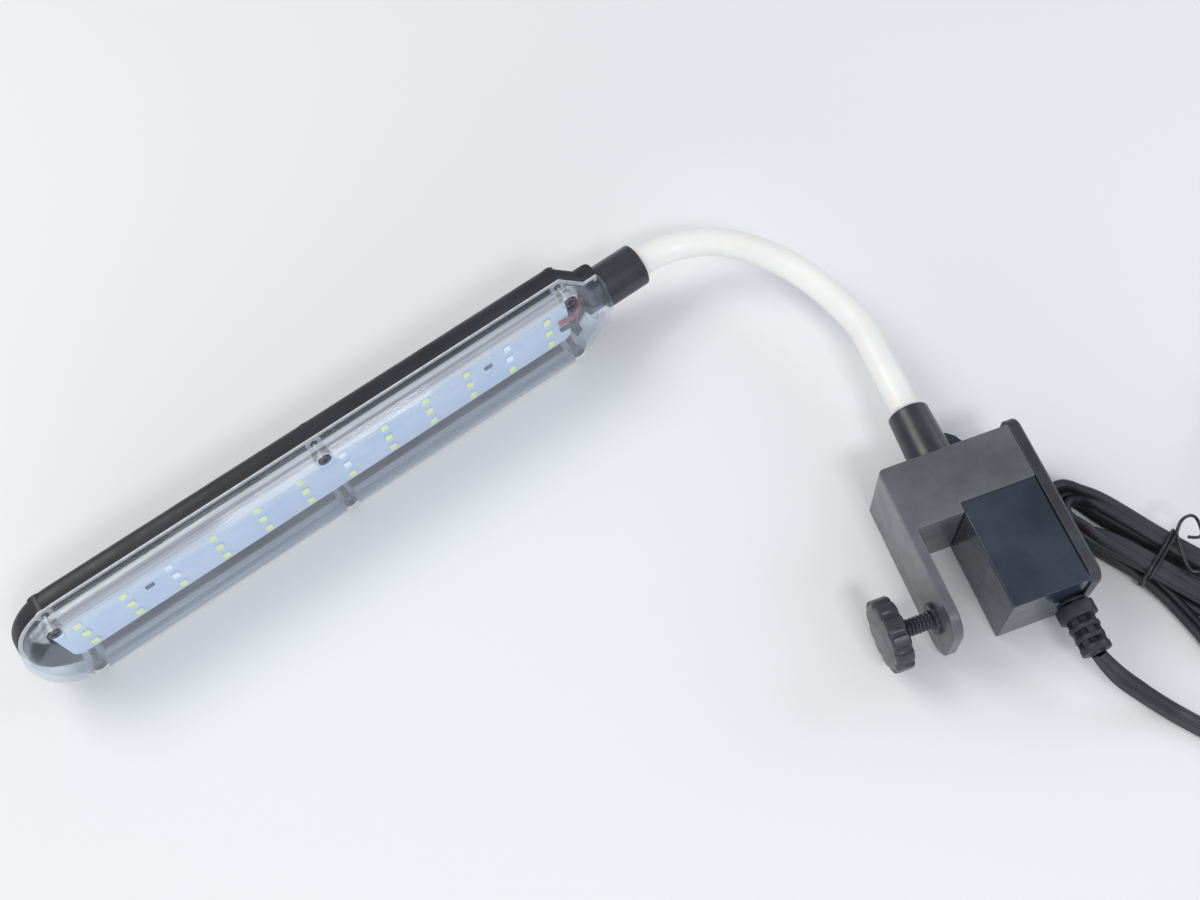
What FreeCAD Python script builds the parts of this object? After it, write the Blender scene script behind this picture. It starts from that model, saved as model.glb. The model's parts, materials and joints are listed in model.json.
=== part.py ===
import FreeCAD, Part
import math
import os

# Clip-on LED aquarium lamp, in millimetres, lying on its side as if put down on a shelf.
# Z is up from the shelf.  +Y runs from the clamp up into its gooseneck, +X from the clamp's
# thin flange to its lid.  Everything is drawn about the clamp's slot corner, where the slot's
# ceiling meets the driver box, and moved at the end so that the origin is under the middle of
# the lamp's box.

V = FreeCAD.Vector
X, Y, Z = V(1, 0, 0), V(0, 1, 0), V(0, 0, 1)
SLOT_CORNER = V(136.73, -44.13, 0)
RUNNING_GAP = 0.05
TINY = 0.1
PAST = 1.0

# Clamp: a saddle over the glass, a thin flange on one side, the driver box on the other.
CLAMP_DEPTH = 31.0
FLANGE_OUT = -21.0
FLANGE_IN = -17.5
FLANGE_TIP = -36.0
FLANGE_ROUND = 9.0
BOX_LEFT = -1.0
BOX_RIGHT = 25.4
BOX_BOTTOM = -34.2
BODY_TOP = 23.3
STEP_Y = 3.5
FACE_STEP = 0.8
WALL = 2.0
BOX_FRONT = CLAMP_DEPTH - FACE_STEP
LUG_OUTLINE = ((8.6, BODY_TOP), (14.5, BODY_TOP), (11.5, 29.5), (8.6, 32.0))
LUG_Z = 17.0
LUG_THICK = 4.0

# Lid of the driver box, its screws and its rocker switch.
LID_THICK = 4.1
LID_TOP = 26.2
LID_BOTTOM = -34.9
LID_CORNER = 5.0
LID_FACE = BOX_RIGHT + LID_THICK
LID_SCREWS = ((19.6, 6.0), (-30.4, 25.4))
LID_SCREW_HEAD_R = 2.5
LID_SCREW_R = 1.3
LID_SCREW_SEAT = BOX_RIGHT + 2.3
POST_LENGTH = 12.0
ROCKER_X = LID_FACE - 1.2
ROCKER_Y = -16.0
ROCKER_Z = 15.5
ROCKER_TILT = 9.0
ROCKER_HALF = 5.3
ROCKER_PIN_R = 0.6
SWITCH_HALF_Y = 4.3
SWITCH_HALF_Z = 6.6
SWITCH_RIM = 0.9
SWITCH_WALL = 1.0

# Driver inside the box: its board, a wound transformer on the board and a round capacitor.
DRIVER_X = 3.5
DRIVER_Y = (-30.5, 17.0)
DRIVER_THICK = 1.6
DRIVER_FACE = DRIVER_X + DRIVER_THICK
WINDING = (9.4, (-2.5, 10.0), (8.0, 22.0))
FERRITE = ((0.8, 8.6), (-4.3, 11.8), (10.5, 19.5))
CAPACITOR_R = 4.5
CAPACITOR_Y = -15.5
CAPACITOR_Z = (9.6, 21.6)

# Cord outlet: each ring of the strain relief as start, thickness and radius.
CORD_X = 21.4
CORD_Z = 15.4
RELIEF_LENGTH = 19.6
RELIEF_HOLE_R = 3.6
RELIEF_RINGS = ((0.8, 1.2, 5.0), (2.6, 4.6, 6.3), (9.4, 1.7, 5.1), (13.0, 1.7, 4.9), (16.4, 2.4, 5.0))

# Thumbscrew through the flange.
SCREW_Y = -25.0
SCREW_Z = 15.4
SCREW_R = 3.0
BUSH_R = 4.4
KNOB_X = -39.7
KNOB_R = 12.3
KNOB_THICK = 6.4
KNOB_LOBES = 12
KNOB_HOLLOW_R = 1.9
TIP_THICK = 1.6
TIP_R = 2.6

# Gooseneck: its centre line stays at one height, from the clamp's ferrule to the head's.
NECK_X = 0.2
NECK_Z = 21.0
SLEEVE_R = 5.2
SPINE_R = 2.1
FERRULE_R = 7.3
FERRULE_TOP = 43.0
SWAY_AT = (13.0, 26.0)
BEND_RUNS = (39.5, 30.5, 24.5, 14.0, 16.5, 8.6)
HEAD_TILT = 15.9
BEND_STEP = (90 + HEAD_TILT) / (len(BEND_RUNS) - 1)
SLEEVE_GAP = 1.7
SPINE_GAP = 0.7
SOCKET_DEPTH = 12.0

# Head, drawn flat: x along it towards the neck from the first column of chips, y towards its
# back from the face of the board, z across it.
HEAD_HALF = 21.0
HEAD_BACK = 12.0
HEAD_BACK_ROUND = 4.0
SEAM_Y = 4.0
SEAM_HALF = 0.3
SHOULDER_Y = -1.8
FACE_Y = -6.6
FACE_INSET = 2.6
SHELL = 1.6
LIP_Y = 0.7
LIP_INSET = SHELL + 0.35
LIP_THICK = 1.0
LIP_ROOT = 1.5
SIDE_END = 197.0
NECK_START = 206.5
NECK_HALF = 10.0
COLLAR_LENGTH = 6.5
COLLAR_R = 9.2
COLLAR_END = 212.0
FERRULE_END = 229.2
HEAD_FERRULE_R = 8.1
NECK_AXIS_Y = 4.0
SPIGOT_R = 6.6
SPIGOT_LENGTH = 7.5

# Board and what is on it.
BOARD_START = -8.5
BOARD_END = 196.0
BOARD_HALF = 11.5
BOARD_THICK = 1.2
CHIP_PITCH = 17.0
CHIP_COLUMNS = 12
CHIP_ROW = 7.45
CHIP_SIZE = (2.8, 0.75, 3.5)
WHITE_COLUMNS = (2, 6, 10)
RESISTOR_SIZE = (3.2, 0.6, 1.6)
RESISTOR_PLACES = ((25.5, 3.2), (161.5, 3.2))
WIRE_R = 0.8
WIRE_APART = 1.1

# Screws of the head: how far along, how far across, and how deep the seat is sunk.
SCREW_STATIONS = (-4.8, 96.0, 195.6)
SCREW_ACROSS = 17.67
SCREW_SEAT_Y = -3.0
SCREW_HEAD_R = 2.3
SCREW_SHANK_R = 1.2
POST_R = 3.0
BOSS_R = 3.3

# Cord: flat twin lead laid on the shelf, its spare length tied in a hank beside the clamp.
CORD_R = 3.1
HANK_START = V(33.6, 4.2, 0)
HANK_ANGLE = -54.9
HANK_LENGTH = 96.0
HANK_WIDTH = 18.0
HANK_HEIGHT = 13.0
TIE_THICK = 0.9
TIE_WIDTH = 2.4
TIE_AT = 42.0
LEAD = [V(21.4, -53.8, 15.4), V(23.9, -60.2, 12.7), V(30.3, -67.3, 7.4), V(38.9, -76.8, 3.7),
        V(48.6, -88.6, 3.1), V(58.5, -102.5, 3.1), V(66.0, -115.0, 3.1), V(75.0, -125.8, 3.1),
        V(87.5, -130.5, 3.1), V(101.0, -127.5, 3.1), V(110.6, -117.6, 3.1), V(113.3, -104.0, 3.1),
        V(108.4, -90.8, 3.1), V(96.8, -82.6, 3.1), V(83.0, -80.4, 3.1), V(70.5, -75.4, 3.1),
        V(61.4, -65.6, 3.1), V(59.2, -53.0, 3.3), V(56.0, -41.0, 4.4)]
TAIL = [V(75.4, -43.6, 5.0), V(86.7, -47.7, 3.4), V(99.0, -45.4, 3.1), V(108.4, -37.2, 4.2),
        V(112.0, -26.3, 6.6)]
PLUG_HALF = 6.5
PLUG_SIDE = ((0, 4.0), (9, 5.0), (16, 12.5), (30, 13.0), (35, 8.5))
PIN_ROOT = 28.0
PIN_END = 54.0
PIN_R = 2.0
PIN_APART = 9.3
PIN_CONVERGE = 0.75

os.makedirs("parts", exist_ok=True)
made = {}


def keep(name, shape):
    """Files a finished piece under its node name."""
    made[name] = shape if shape.ShapeType == "Compound" else shape.removeSplitter()


def block(x0, x1, y0, y1, z0, z1):
    return Part.makeBox(x1 - x0, y1 - y0, z1 - z0, V(x0, y0, z0))


def rod(radius, start, end):
    along = end - start
    return Part.makeCylinder(radius, along.Length, start, along)


def tube(outer, inner, start, end):
    return rod(outer, start, end).cut(rod(inner, start, end))


def prism(points, along):
    """Solid swept from a flat polygon."""
    return Part.Face(Part.makePolygon(list(points) + [points[0]])).extrude(along)


def edges_along(shape, direction, test):
    """Straight edges of a shape that run in a direction and whose middle passes a test."""
    found = []
    for edge in shape.Edges:
        if edge.Curve.TypeId != "Part::GeomLine":
            continue
        run = edge.Vertexes[1].Point - edge.Vertexes[0].Point
        if run.cross(direction).Length < 1e-6 * run.Length and test(edge.CenterOfMass):
            found.append(edge)
    return found


def joined(shapes):
    solid = shapes[0]
    for other in shapes[1:]:
        solid = solid.fuse(other)
    return solid.removeSplitter()


def without(solid, cutters):
    for cutter in cutters:
        solid = solid.cut(cutter)
    return solid


# ---------------------------------------------------------------- clamp


def clamp_shell():
    """Outside of the clamp as one closed solid, its flange rounded at the tip."""
    saddle = block(FLANGE_OUT, BOX_RIGHT, STEP_Y, BODY_TOP, 0, CLAMP_DEPTH)
    ceiling = block(FLANGE_OUT, BOX_LEFT, 0, STEP_Y, 0, CLAMP_DEPTH)
    box = block(BOX_LEFT, BOX_RIGHT, BOX_BOTTOM, STEP_Y, 0, BOX_FRONT)
    flange = block(FLANGE_OUT, FLANGE_IN, FLANGE_TIP, STEP_Y, 0, CLAMP_DEPTH)
    tip_corners = edges_along(flange, X, lambda c: abs(c.y - FLANGE_TIP) < TINY)
    shell = joined([saddle, ceiling, box, flange.makeFillet(FLANGE_ROUND, tip_corners)])
    front_edges = edges_along(
        shell, Y, lambda c: c.x < FLANGE_OUT + TINY and c.z > CLAMP_DEPTH - TINY)
    shell = shell.makeFillet(1.2, front_edges)
    top_corner = edges_along(
        shell, Z, lambda c: abs(c.x - FLANGE_OUT) < TINY and abs(c.y - BODY_TOP) < TINY)
    return shell.makeFillet(2.0, top_corner)


def clamp_body():
    """The clamp hollowed out, with its screw posts, its holes and the lug beside the ferrule."""
    inside_top = BODY_TOP - WALL
    chamber = block(BOX_LEFT + WALL, BOX_RIGHT, BOX_BOTTOM + WALL, inside_top,
                    WALL, BOX_FRONT - WALL)
    duct = block(FLANGE_IN + 1, BOX_LEFT + WALL, WALL + 1, inside_top, WALL, CLAMP_DEPTH - WALL)
    post_end = BOX_RIGHT - POST_LENGTH
    posts = [rod(2.6, V(post_end, y, z), V(BOX_RIGHT, y, z)) for y, z in LID_SCREWS]
    pilots = [rod(LID_SCREW_R, V(post_end + 1, y, z), V(BOX_RIGHT + PAST, y, z))
              for y, z in LID_SCREWS]
    lug = prism([V(x, y, LUG_Z) for x, y in LUG_OUTLINE], Z * LUG_THICK)
    neck_hole = rod(SLEEVE_R, V(NECK_X, inside_top - PAST, NECK_Z), V(NECK_X, BODY_TOP, NECK_Z))
    screw_hole = rod(BUSH_R, V(FLANGE_OUT - PAST, SCREW_Y, SCREW_Z),
                     V(FLANGE_IN + PAST, SCREW_Y, SCREW_Z))
    cord_hole = rod(RELIEF_HOLE_R, V(CORD_X, BOX_BOTTOM - PAST, CORD_Z),
                    V(CORD_X, BOX_BOTTOM + WALL, CORD_Z))
    body = without(clamp_shell(), [chamber, duct])
    body = joined([body, lug] + posts)
    return without(body, [neck_hole, screw_hole, cord_hole] + pilots)


def clamp_lid():
    """Cover plate of the driver box, standing proud of the body at both ends."""
    lid = block(BOX_RIGHT, LID_FACE, LID_BOTTOM, LID_TOP, 0, CLAMP_DEPTH)
    lid = lid.makeFillet(LID_CORNER, edges_along(lid, X, lambda c: True))
    lid = lid.makeFillet(1.0, [e for e in lid.Edges if e.BoundBox.XMin > LID_FACE - TINY])
    cutters = [block(BOX_RIGHT - PAST, LID_FACE + PAST,
                     ROCKER_Y - SWITCH_HALF_Y, ROCKER_Y + SWITCH_HALF_Y,
                     ROCKER_Z - SWITCH_HALF_Z, ROCKER_Z + SWITCH_HALF_Z)]
    for y, z in LID_SCREWS:
        cutters.append(rod(LID_SCREW_HEAD_R, V(LID_SCREW_SEAT, y, z), V(LID_FACE + PAST, y, z)))
        cutters.append(rod(LID_SCREW_R, V(BOX_RIGHT - PAST, y, z), V(LID_FACE, y, z)))
    return without(lid, cutters)


def cross_recess(at, along, half, width, depth):
    """Two crossed slots to cut into a screw's head, from a point on its face inwards."""
    turn = FreeCAD.Placement(at, FreeCAD.Rotation(Z, along))
    slots = [block(-half, half, -width, width, -PAST, depth),
             block(-width, width, -half, half, -PAST, depth)]
    for slot in slots:
        slot.Placement = turn
    return slots


def lid_screws():
    """Two pan-headed self-tapping screws, at opposite corners of the lid."""
    head_face = LID_SCREW_SEAT + 1.5
    screws = []
    for y, z in LID_SCREWS:
        head = rod(LID_SCREW_HEAD_R, V(LID_SCREW_SEAT, y, z), V(head_face, y, z))
        shank = rod(LID_SCREW_R, V(BOX_RIGHT - 9, y, z), V(LID_SCREW_SEAT, y, z))
        screw = joined([head, shank])
        screws.append(without(screw, cross_recess(V(head_face, y, z), -X, 1.6, 0.35, 0.8)))
    return Part.makeCompound(screws)


def clamp_ferrule():
    """Moulded socket that grips the lower end of the gooseneck."""
    base, rim = V(NECK_X, BODY_TOP, NECK_Z), V(NECK_X, FERRULE_TOP, NECK_Z)
    outer = Part.makeCone(FERRULE_R + 0.4, FERRULE_R - 0.2, FERRULE_TOP - BODY_TOP, base, Y)
    outer = outer.makeFillet(0.6, [e for e in outer.Edges if e.BoundBox.YMin > FERRULE_TOP - TINY])
    return outer.cut(rod(SLEEVE_R, base, rim + Y * PAST))


def strain_relief():
    """Rubber sleeve where the cord leaves the box: a collar, then thin rings on a core."""
    mouth = V(CORD_X, BOX_BOTTOM, CORD_Z)
    plug = rod(RELIEF_HOLE_R, mouth + Y * (WALL + 1), mouth)
    core = Part.makeCone(3.4, 2.9, RELIEF_LENGTH, mouth, -Y)
    rings = [rod(radius, mouth - Y * start, mouth - Y * (start + thick))
             for start, thick, radius in RELIEF_RINGS]
    return joined([plug, core] + rings)


def switch_frame():
    """Snap-in frame of the rocker switch, with its contact box and two tabs behind the lid."""
    back = BOX_RIGHT - 7
    rim = block(LID_FACE, LID_FACE + 1.2,
                ROCKER_Y - SWITCH_HALF_Y - SWITCH_RIM, ROCKER_Y + SWITCH_HALF_Y + SWITCH_RIM,
                ROCKER_Z - SWITCH_HALF_Z - SWITCH_RIM, ROCKER_Z + SWITCH_HALF_Z + SWITCH_RIM)
    barrel = block(back, LID_FACE, ROCKER_Y - SWITCH_HALF_Y, ROCKER_Y + SWITCH_HALF_Y,
                   ROCKER_Z - SWITCH_HALF_Z, ROCKER_Z + SWITCH_HALF_Z)
    well_y = SWITCH_HALF_Y - SWITCH_WALL
    well_z = SWITCH_HALF_Z - 0.8
    well = block(BOX_RIGHT - 1.5, LID_FACE + 2, ROCKER_Y - well_y, ROCKER_Y + well_y,
                 ROCKER_Z - well_z, ROCKER_Z + well_z)
    pins = [rod(ROCKER_PIN_R, V(ROCKER_X, ROCKER_Y + side * well_y, ROCKER_Z),
                V(ROCKER_X, ROCKER_Y + side * (well_y - 1.1), ROCKER_Z)) for side in (-1, 1)]
    tabs = [block(back - 4, back, ROCKER_Y - 1.5, ROCKER_Y + 1.5,
                  ROCKER_Z + side * 3.5 - 0.3, ROCKER_Z + side * 3.5 + 0.3) for side in (-1, 1)]
    return joined([joined([rim, barrel]).cut(well)] + pins + tabs)


def switch_rocker():
    """Rocker paddle, a shallow V that turns on two pins, one end pressed in."""
    half_width = 3.0
    crown, valley = 3.9, 2.6
    profile = ((-1.6, -1.8), (-1.6, 1.8), (0.8, ROCKER_HALF), (crown, ROCKER_HALF), (valley, 0),
               (crown, -ROCKER_HALF), (0.8, -ROCKER_HALF))
    outline = [V(ROCKER_X + out, ROCKER_Y - half_width, ROCKER_Z + z) for out, z in profile]
    paddle = prism(outline, Y * 2 * half_width)
    axis = V(ROCKER_X, ROCKER_Y, ROCKER_Z)
    paddle = paddle.cut(rod(ROCKER_PIN_R + RUNNING_GAP, axis - Y * 4, axis + Y * 4))
    paddle.rotate(axis, Y, ROCKER_TILT)
    return paddle


def driver_board():
    return block(DRIVER_X, DRIVER_FACE, *DRIVER_Y, WALL, BOX_FRONT - WALL)


def driver_transformer():
    """Taped winding with a ferrite core showing at both ends."""
    height, winding_y, winding_z = WINDING
    winding = block(DRIVER_FACE, DRIVER_FACE + height, *winding_y, *winding_z)
    (low, high), ferrite_y, ferrite_z = FERRITE
    ferrite = block(DRIVER_FACE + low, DRIVER_FACE + high, *ferrite_y, *ferrite_z)
    return joined([winding, ferrite])


def driver_capacitor():
    """Capacitor lying on the board."""
    x = DRIVER_FACE + CAPACITOR_R
    return rod(CAPACITOR_R, V(x, CAPACITOR_Y, CAPACITOR_Z[0]), V(x, CAPACITOR_Y, CAPACITOR_Z[1]))


# ---------------------------------------------------------------- thumbscrew


def on_screw(x):
    return V(x, SCREW_Y, SCREW_Z)


def screw_bush():
    """Threaded bush held in the flange."""
    sleeve = rod(BUSH_R, on_screw(FLANGE_OUT), on_screw(FLANGE_IN))
    collar = rod(BUSH_R + 1, on_screw(FLANGE_OUT - 1.4), on_screw(FLANGE_OUT))
    bore = rod(SCREW_R + RUNNING_GAP, on_screw(FLANGE_OUT - 3), on_screw(FLANGE_IN + PAST))
    return joined([sleeve, collar]).cut(bore)


def thumb_knob():
    """Lobed knob: a disc with grip hollows round its edge."""
    disc = rod(KNOB_R, on_screw(KNOB_X), on_screw(KNOB_X + KNOB_THICK))
    disc = disc.makeFillet(0.8, [e for e in disc.Edges if e.Curve.TypeId == "Part::GeomCircle"])
    hollows = []
    for k in range(KNOB_LOBES):
        angle = math.radians(360 / KNOB_LOBES * (k + 0.5))
        out = V(0, math.cos(angle), math.sin(angle)) * (KNOB_R + 0.9)
        centre = on_screw(KNOB_X - PAST) + out
        hollows.append(rod(KNOB_HOLLOW_R, centre, centre + X * (KNOB_THICK + 2 * PAST)))
    return without(disc, hollows)


def screw_shaft():
    return rod(SCREW_R, on_screw(KNOB_X + KNOB_THICK), on_screw(FLANGE_IN - TIP_THICK))


def screw_tip():
    """Soft swivel pad on the screw's end, which meets the glass."""
    return rod(TIP_R, on_screw(FLANGE_IN - TIP_THICK + RUNNING_GAP), on_screw(FLANGE_IN))


# ---------------------------------------------------------------- gooseneck


def neck_line():
    """Pivot points of the gooseneck in order, then its end in the head's ferrule."""
    here = V(NECK_X, FERRULE_TOP, NECK_Z)
    points = [here + Y * s for s in SWAY_AT]
    for k, run in enumerate(BEND_RUNS):
        heading = math.radians(90 + BEND_STEP * k)
        here = here + V(math.cos(heading), math.sin(heading), 0) * run
        points.append(here)
    return points


def neck_links(points):
    """One length of silicone sleeve and of bendable core for each link between pivots."""
    starts = [V(NECK_X, BODY_TOP + 1, NECK_Z)] + points[:-1]
    last = len(points) - 1
    for k, (a, b) in enumerate(zip(starts, points)):
        along = (b - a).normalize()
        if k == last:
            b = b + along * SOCKET_DEPTH
        sleeve_gap = [0 if k == 0 else SLEEVE_GAP, 0 if k == last else SLEEVE_GAP]
        spine_gap = [0 if k == 0 else SPINE_GAP, 0 if k == last else SPINE_GAP]
        keep(f"neck_sleeve_{k + 1}",
             tube(SLEEVE_R, SPINE_R, a + along * sleeve_gap[0], b - along * sleeve_gap[1]))
        keep(f"neck_core_{k + 1}",
             rod(SPINE_R, a + along * spine_gap[0], b - along * spine_gap[1]))


# ---------------------------------------------------------------- head


def head_outline(inset, y):
    """Plan of the head at a depth y: round free end, straight sides, tapered neck end."""
    half = HEAD_HALF - inset
    neck_half = NECK_HALF - inset
    taper = inset * 0.4
    corners = [V(0, y, half), V(SIDE_END - taper, y, half), V(NECK_START - taper, y, neck_half),
               V(COLLAR_END - inset, y, neck_half), V(COLLAR_END - inset, y, -neck_half),
               V(NECK_START - taper, y, -neck_half), V(SIDE_END - taper, y, -half), V(0, y, -half)]
    edges = [Part.makeLine(a, b) for a, b in zip(corners, corners[1:])]
    edges.append(Part.Arc(V(0, y, -half), V(-half, y, 0), V(0, y, half)).toShape())
    return Part.Wire(Part.__sortEdges__(edges))


def slab(inset, y0, y1):
    return Part.Face(head_outline(inset, y0)).extrude(Y * (y1 - y0))


def upright(radius, x, z, y0, y1):
    return rod(radius, V(x, y0, z), V(x, y1, z))


def stations():
    return [(x, side * SCREW_ACROSS) for x in SCREW_STATIONS for side in (1, -1)]


def neck_rod(radius, x0, x1):
    """Round bar on the axis where the head's ferrule and shells meet."""
    return rod(radius, V(x0, NECK_AXIS_Y, 0), V(x1, NECK_AXIS_Y, 0))


def half_collar(y0, y1):
    """Half of the round collar at the head's neck end, between two depths."""
    around = block(NECK_START - 10, COLLAR_END + 10, y0, y1, -HEAD_HALF, HEAD_HALF)
    return neck_rod(COLLAR_R, COLLAR_END - COLLAR_LENGTH, COLLAR_END).common(around)


def spigot_bore():
    return neck_rod(SPIGOT_R, COLLAR_END - SPIGOT_LENGTH, COLLAR_END + 10)


def housing_lip():
    """Tongue of the housing that stands inside the cover's walls, clear of its screw bosses."""
    mouth = SEAM_Y + SEAM_HALF
    root = mouth + LIP_ROOT
    tongue = slab(LIP_INSET, LIP_Y, root).fuse(slab(SHELL - TINY, mouth, root))
    tongue = tongue.cut(slab(LIP_INSET + LIP_THICK, LIP_Y - PAST, root + PAST))
    neck_end = block(SIDE_END + 4, COLLAR_END + 4, LIP_Y - PAST, root + PAST, -HEAD_HALF, HEAD_HALF)
    round_bosses = [upright(BOSS_R + 0.4, x, z, LIP_Y - PAST, mouth) for x, z in stations()]
    return without(tongue, [neck_end] + round_bosses)


def head_housing():
    """Black back shell and its lip, with screw posts and two rails that carry the board."""
    mouth = SEAM_Y + SEAM_HALF
    floor = HEAD_BACK - SHELL
    shell = slab(0, mouth, HEAD_BACK)
    back_rim = [e for e in shell.Edges if e.BoundBox.YMin > HEAD_BACK - TINY]
    shell = shell.makeFillet(HEAD_BACK_ROUND, back_rim)
    shell = shell.cut(slab(SHELL, SEAM_Y, floor))
    posts = [upright(POST_R, x, z, mouth, floor) for x, z in stations()]
    rails = [block(-6, 194, BOARD_THICK, floor, z, z + 1.5) for z in (-8.5, 7.0)]
    rails = [rail.common(slab(SHELL, BOARD_THICK, HEAD_BACK)) for rail in rails]
    pilots = [upright(SCREW_SHANK_R, x, z, SEAM_Y, floor - 1) for x, z in stations()]
    shell = joined([shell, housing_lip(), half_collar(mouth, HEAD_BACK * 2)] + posts + rails)
    return without(shell, pilots + [spigot_bore()])


def lens_cover():
    """Clear front shell: upright sides, sloping shoulders, flat face, six sunk screw seats."""
    mouth = SEAM_Y - SEAM_HALF
    hollow_shoulder = SHOULDER_Y + 0.3
    shoulders = Part.makeLoft([head_outline(0, SHOULDER_Y), head_outline(FACE_INSET, FACE_Y)],
                              True, True)
    outside = joined([slab(0, SHOULDER_Y, mouth), shoulders])
    hollow_top = Part.makeLoft([head_outline(SHELL, hollow_shoulder),
                                head_outline(FACE_INSET + SHELL, FACE_Y + SHELL)], True, True)
    cover = without(outside, [slab(SHELL, hollow_shoulder, SEAM_Y), hollow_top])
    bosses = [upright(BOSS_R, x, z, SCREW_SEAT_Y - 1.2, mouth) for x, z in stations()]
    cover = joined([cover, half_collar(-HEAD_BACK * 2, mouth)] + bosses)
    seats = [upright(2.8, x, z, FACE_Y - PAST, SCREW_SEAT_Y) for x, z in stations()]
    holes = [upright(SCREW_SHANK_R, x, z, FACE_Y - PAST, SEAM_Y) for x, z in stations()]
    return without(cover, seats + holes + [spigot_bore()])


def head_gasket():
    """Thin seal between the two shells, with an eye round each screw."""
    low, high = SEAM_Y - SEAM_HALF, SEAM_Y + SEAM_HALF
    seal = slab(0.3, low, high).cut(slab(SHELL, low - PAST, high + PAST))
    eyes = [upright(POST_R, x, z, low, high) for x, z in stations()]
    holes = [upright(SCREW_SHANK_R, x, z, low - PAST, high + PAST) for x, z in stations()]
    mouth = neck_rod(SPIGOT_R, COLLAR_END - 12, COLLAR_END + 10)
    return without(joined([seal] + eyes), holes + [mouth])


def cover_screws():
    """Six pan-headed screws that hold the cover to the housing."""
    head_y = SCREW_SEAT_Y - 1.5
    screws = []
    for x, z in stations():
        head = upright(SCREW_HEAD_R, x, z, head_y, SCREW_SEAT_Y)
        shank = upright(SCREW_SHANK_R, x, z, SCREW_SEAT_Y, HEAD_BACK - SHELL - 1.5)
        screw = joined([head, shank])
        screws.append(without(screw, cross_recess(V(x, head_y, z), Y, 1.4, 0.3, 0.6)))
    return Part.makeCompound(screws)


def led_board():
    """Long circuit board with rounded corners."""
    board = block(BOARD_START, BOARD_END, 0, BOARD_THICK, -BOARD_HALF, BOARD_HALF)
    return board.makeFillet(4.0, edges_along(board, Y, lambda c: True))


def on_board(size, x, z):
    """Small block standing on the board's face, centred at a place along and across it."""
    length, height, width = size
    return block(x - length / 2, x + length / 2, -height, 0, z - width / 2, z + width / 2)


def chip(x, z):
    """Surface-mount LED with softened corners."""
    body = on_board(CHIP_SIZE, x, z)
    return body.makeFillet(0.3, edges_along(body, Y, lambda c: True))


def led_chips(white):
    """All chips of one colour: whole columns are yellow but for some white pairs."""
    chips = []
    for column in range(CHIP_COLUMNS):
        for row in (-1, 0, 1):
            if (column in WHITE_COLUMNS and row >= 0) == white:
                chips.append(chip(column * CHIP_PITCH, row * CHIP_ROW))
    return Part.makeCompound(chips)


def board_resistors():
    """Two dark parts between chips, one near each end of the board."""
    return Part.makeCompound([on_board(RESISTOR_SIZE, x, z) for x, z in RESISTOR_PLACES])


def head_ferrule():
    """Black socket between head and gooseneck: a spigot in the shells, then a round barrel."""
    barrel = neck_rod(HEAD_FERRULE_R, COLLAR_END, FERRULE_END)
    barrel = barrel.makeFillet(0.7, [e for e in barrel.Edges if e.BoundBox.XMin > FERRULE_END - TINY])
    spigot = neck_rod(SPIGOT_R, COLLAR_END - SPIGOT_LENGTH, COLLAR_END)
    socket = neck_rod(SLEEVE_R, FERRULE_END - SOCKET_DEPTH, FERRULE_END + PAST)
    wire_way = neck_rod(2.4, COLLAR_END - SPIGOT_LENGTH - PAST, FERRULE_END)
    return without(joined([barrel, spigot]), [socket, wire_way])


def head_wire(side):
    """Short insulated wire from the neck down to the end of the board."""
    apart = side * WIRE_APART
    points = [V(FERRULE_END - SOCKET_DEPTH - 1, NECK_AXIS_Y, apart),
              V(COLLAR_END - SPIGOT_LENGTH - 1, NECK_AXIS_Y, apart),
              V(BOARD_END + 2, -1.4, apart * 2), V(BOARD_END - 4.5, -WIRE_R, apart * 2)]
    runs = [rod(WIRE_R, a, b) for a, b in zip(points, points[1:])]
    elbows = [Part.makeSphere(WIRE_R, p) for p in points[1:-1]]
    return joined(runs + elbows)


# ---------------------------------------------------------------- cord


def cord_tube(name, points, radius):
    """Straight runs joined by tangent arcs, swept with a round section; reports its radii."""
    edges, here, radii = [], points[0], []
    for a, b, c in zip(points, points[1:], points[2:]):
        before, after = b - a, c - b
        half_turn = before.getAngle(after) / 2
        cut = 0.45 * min(before.Length, after.Length)
        bend = cut / math.tan(half_turn)
        radii.append(round(bend, 1))
        start = b - before.normalize() * cut
        end = b + after.normalize() * cut
        to_centre = (after - before).normalize()
        middle = b + to_centre * (bend / math.cos(half_turn) - bend)
        edges.append(Part.LineSegment(here, start).toShape())
        edges.append(Part.Arc(start, middle, end).toShape())
        here = end
    edges.append(Part.LineSegment(here, points[-1]).toShape())
    path = Part.Wire(edges)
    section = Part.Wire([Part.makeCircle(radius, points[0], points[1] - points[0])])
    solid = path.makePipeShell([section], True, False)
    expected = math.pi * radius ** 2 * path.Length
    print(name, "radii", radii, "length", round(path.Length, 1),
          "volume share", round(solid.Volume / expected, 4))
    return solid


def hank_point(along, across, z):
    turn = math.radians(HANK_ANGLE)
    ahead, left = V(math.cos(turn), math.sin(turn), 0), V(-math.sin(turn), math.cos(turn), 0)
    return HANK_START + ahead * along + left * across + Z * z


def hank_slab(half, start, end, z0, z1):
    """Flat bar with round ends, along the hank."""
    a, b = hank_point(start + half, half, z0), hank_point(end - half, half, z0)
    c, d = hank_point(end - half, -half, z0), hank_point(start + half, -half, z0)
    tip_far, tip_near = hank_point(end, 0, z0), hank_point(start, 0, z0)
    wire = Part.Wire([Part.makeLine(a, b), Part.Arc(b, tip_far, c).toShape(),
                      Part.makeLine(c, d), Part.Arc(d, tip_near, a).toShape()])
    return Part.Face(wire).extrude(Z * (z1 - z0))


def cord_hank():
    """Outer shape of the folded strands, resting on the tie that goes round them."""
    return hank_slab(HANK_WIDTH / 2, 0, HANK_LENGTH, TIE_THICK, TIE_THICK + HANK_HEIGHT)


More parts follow.
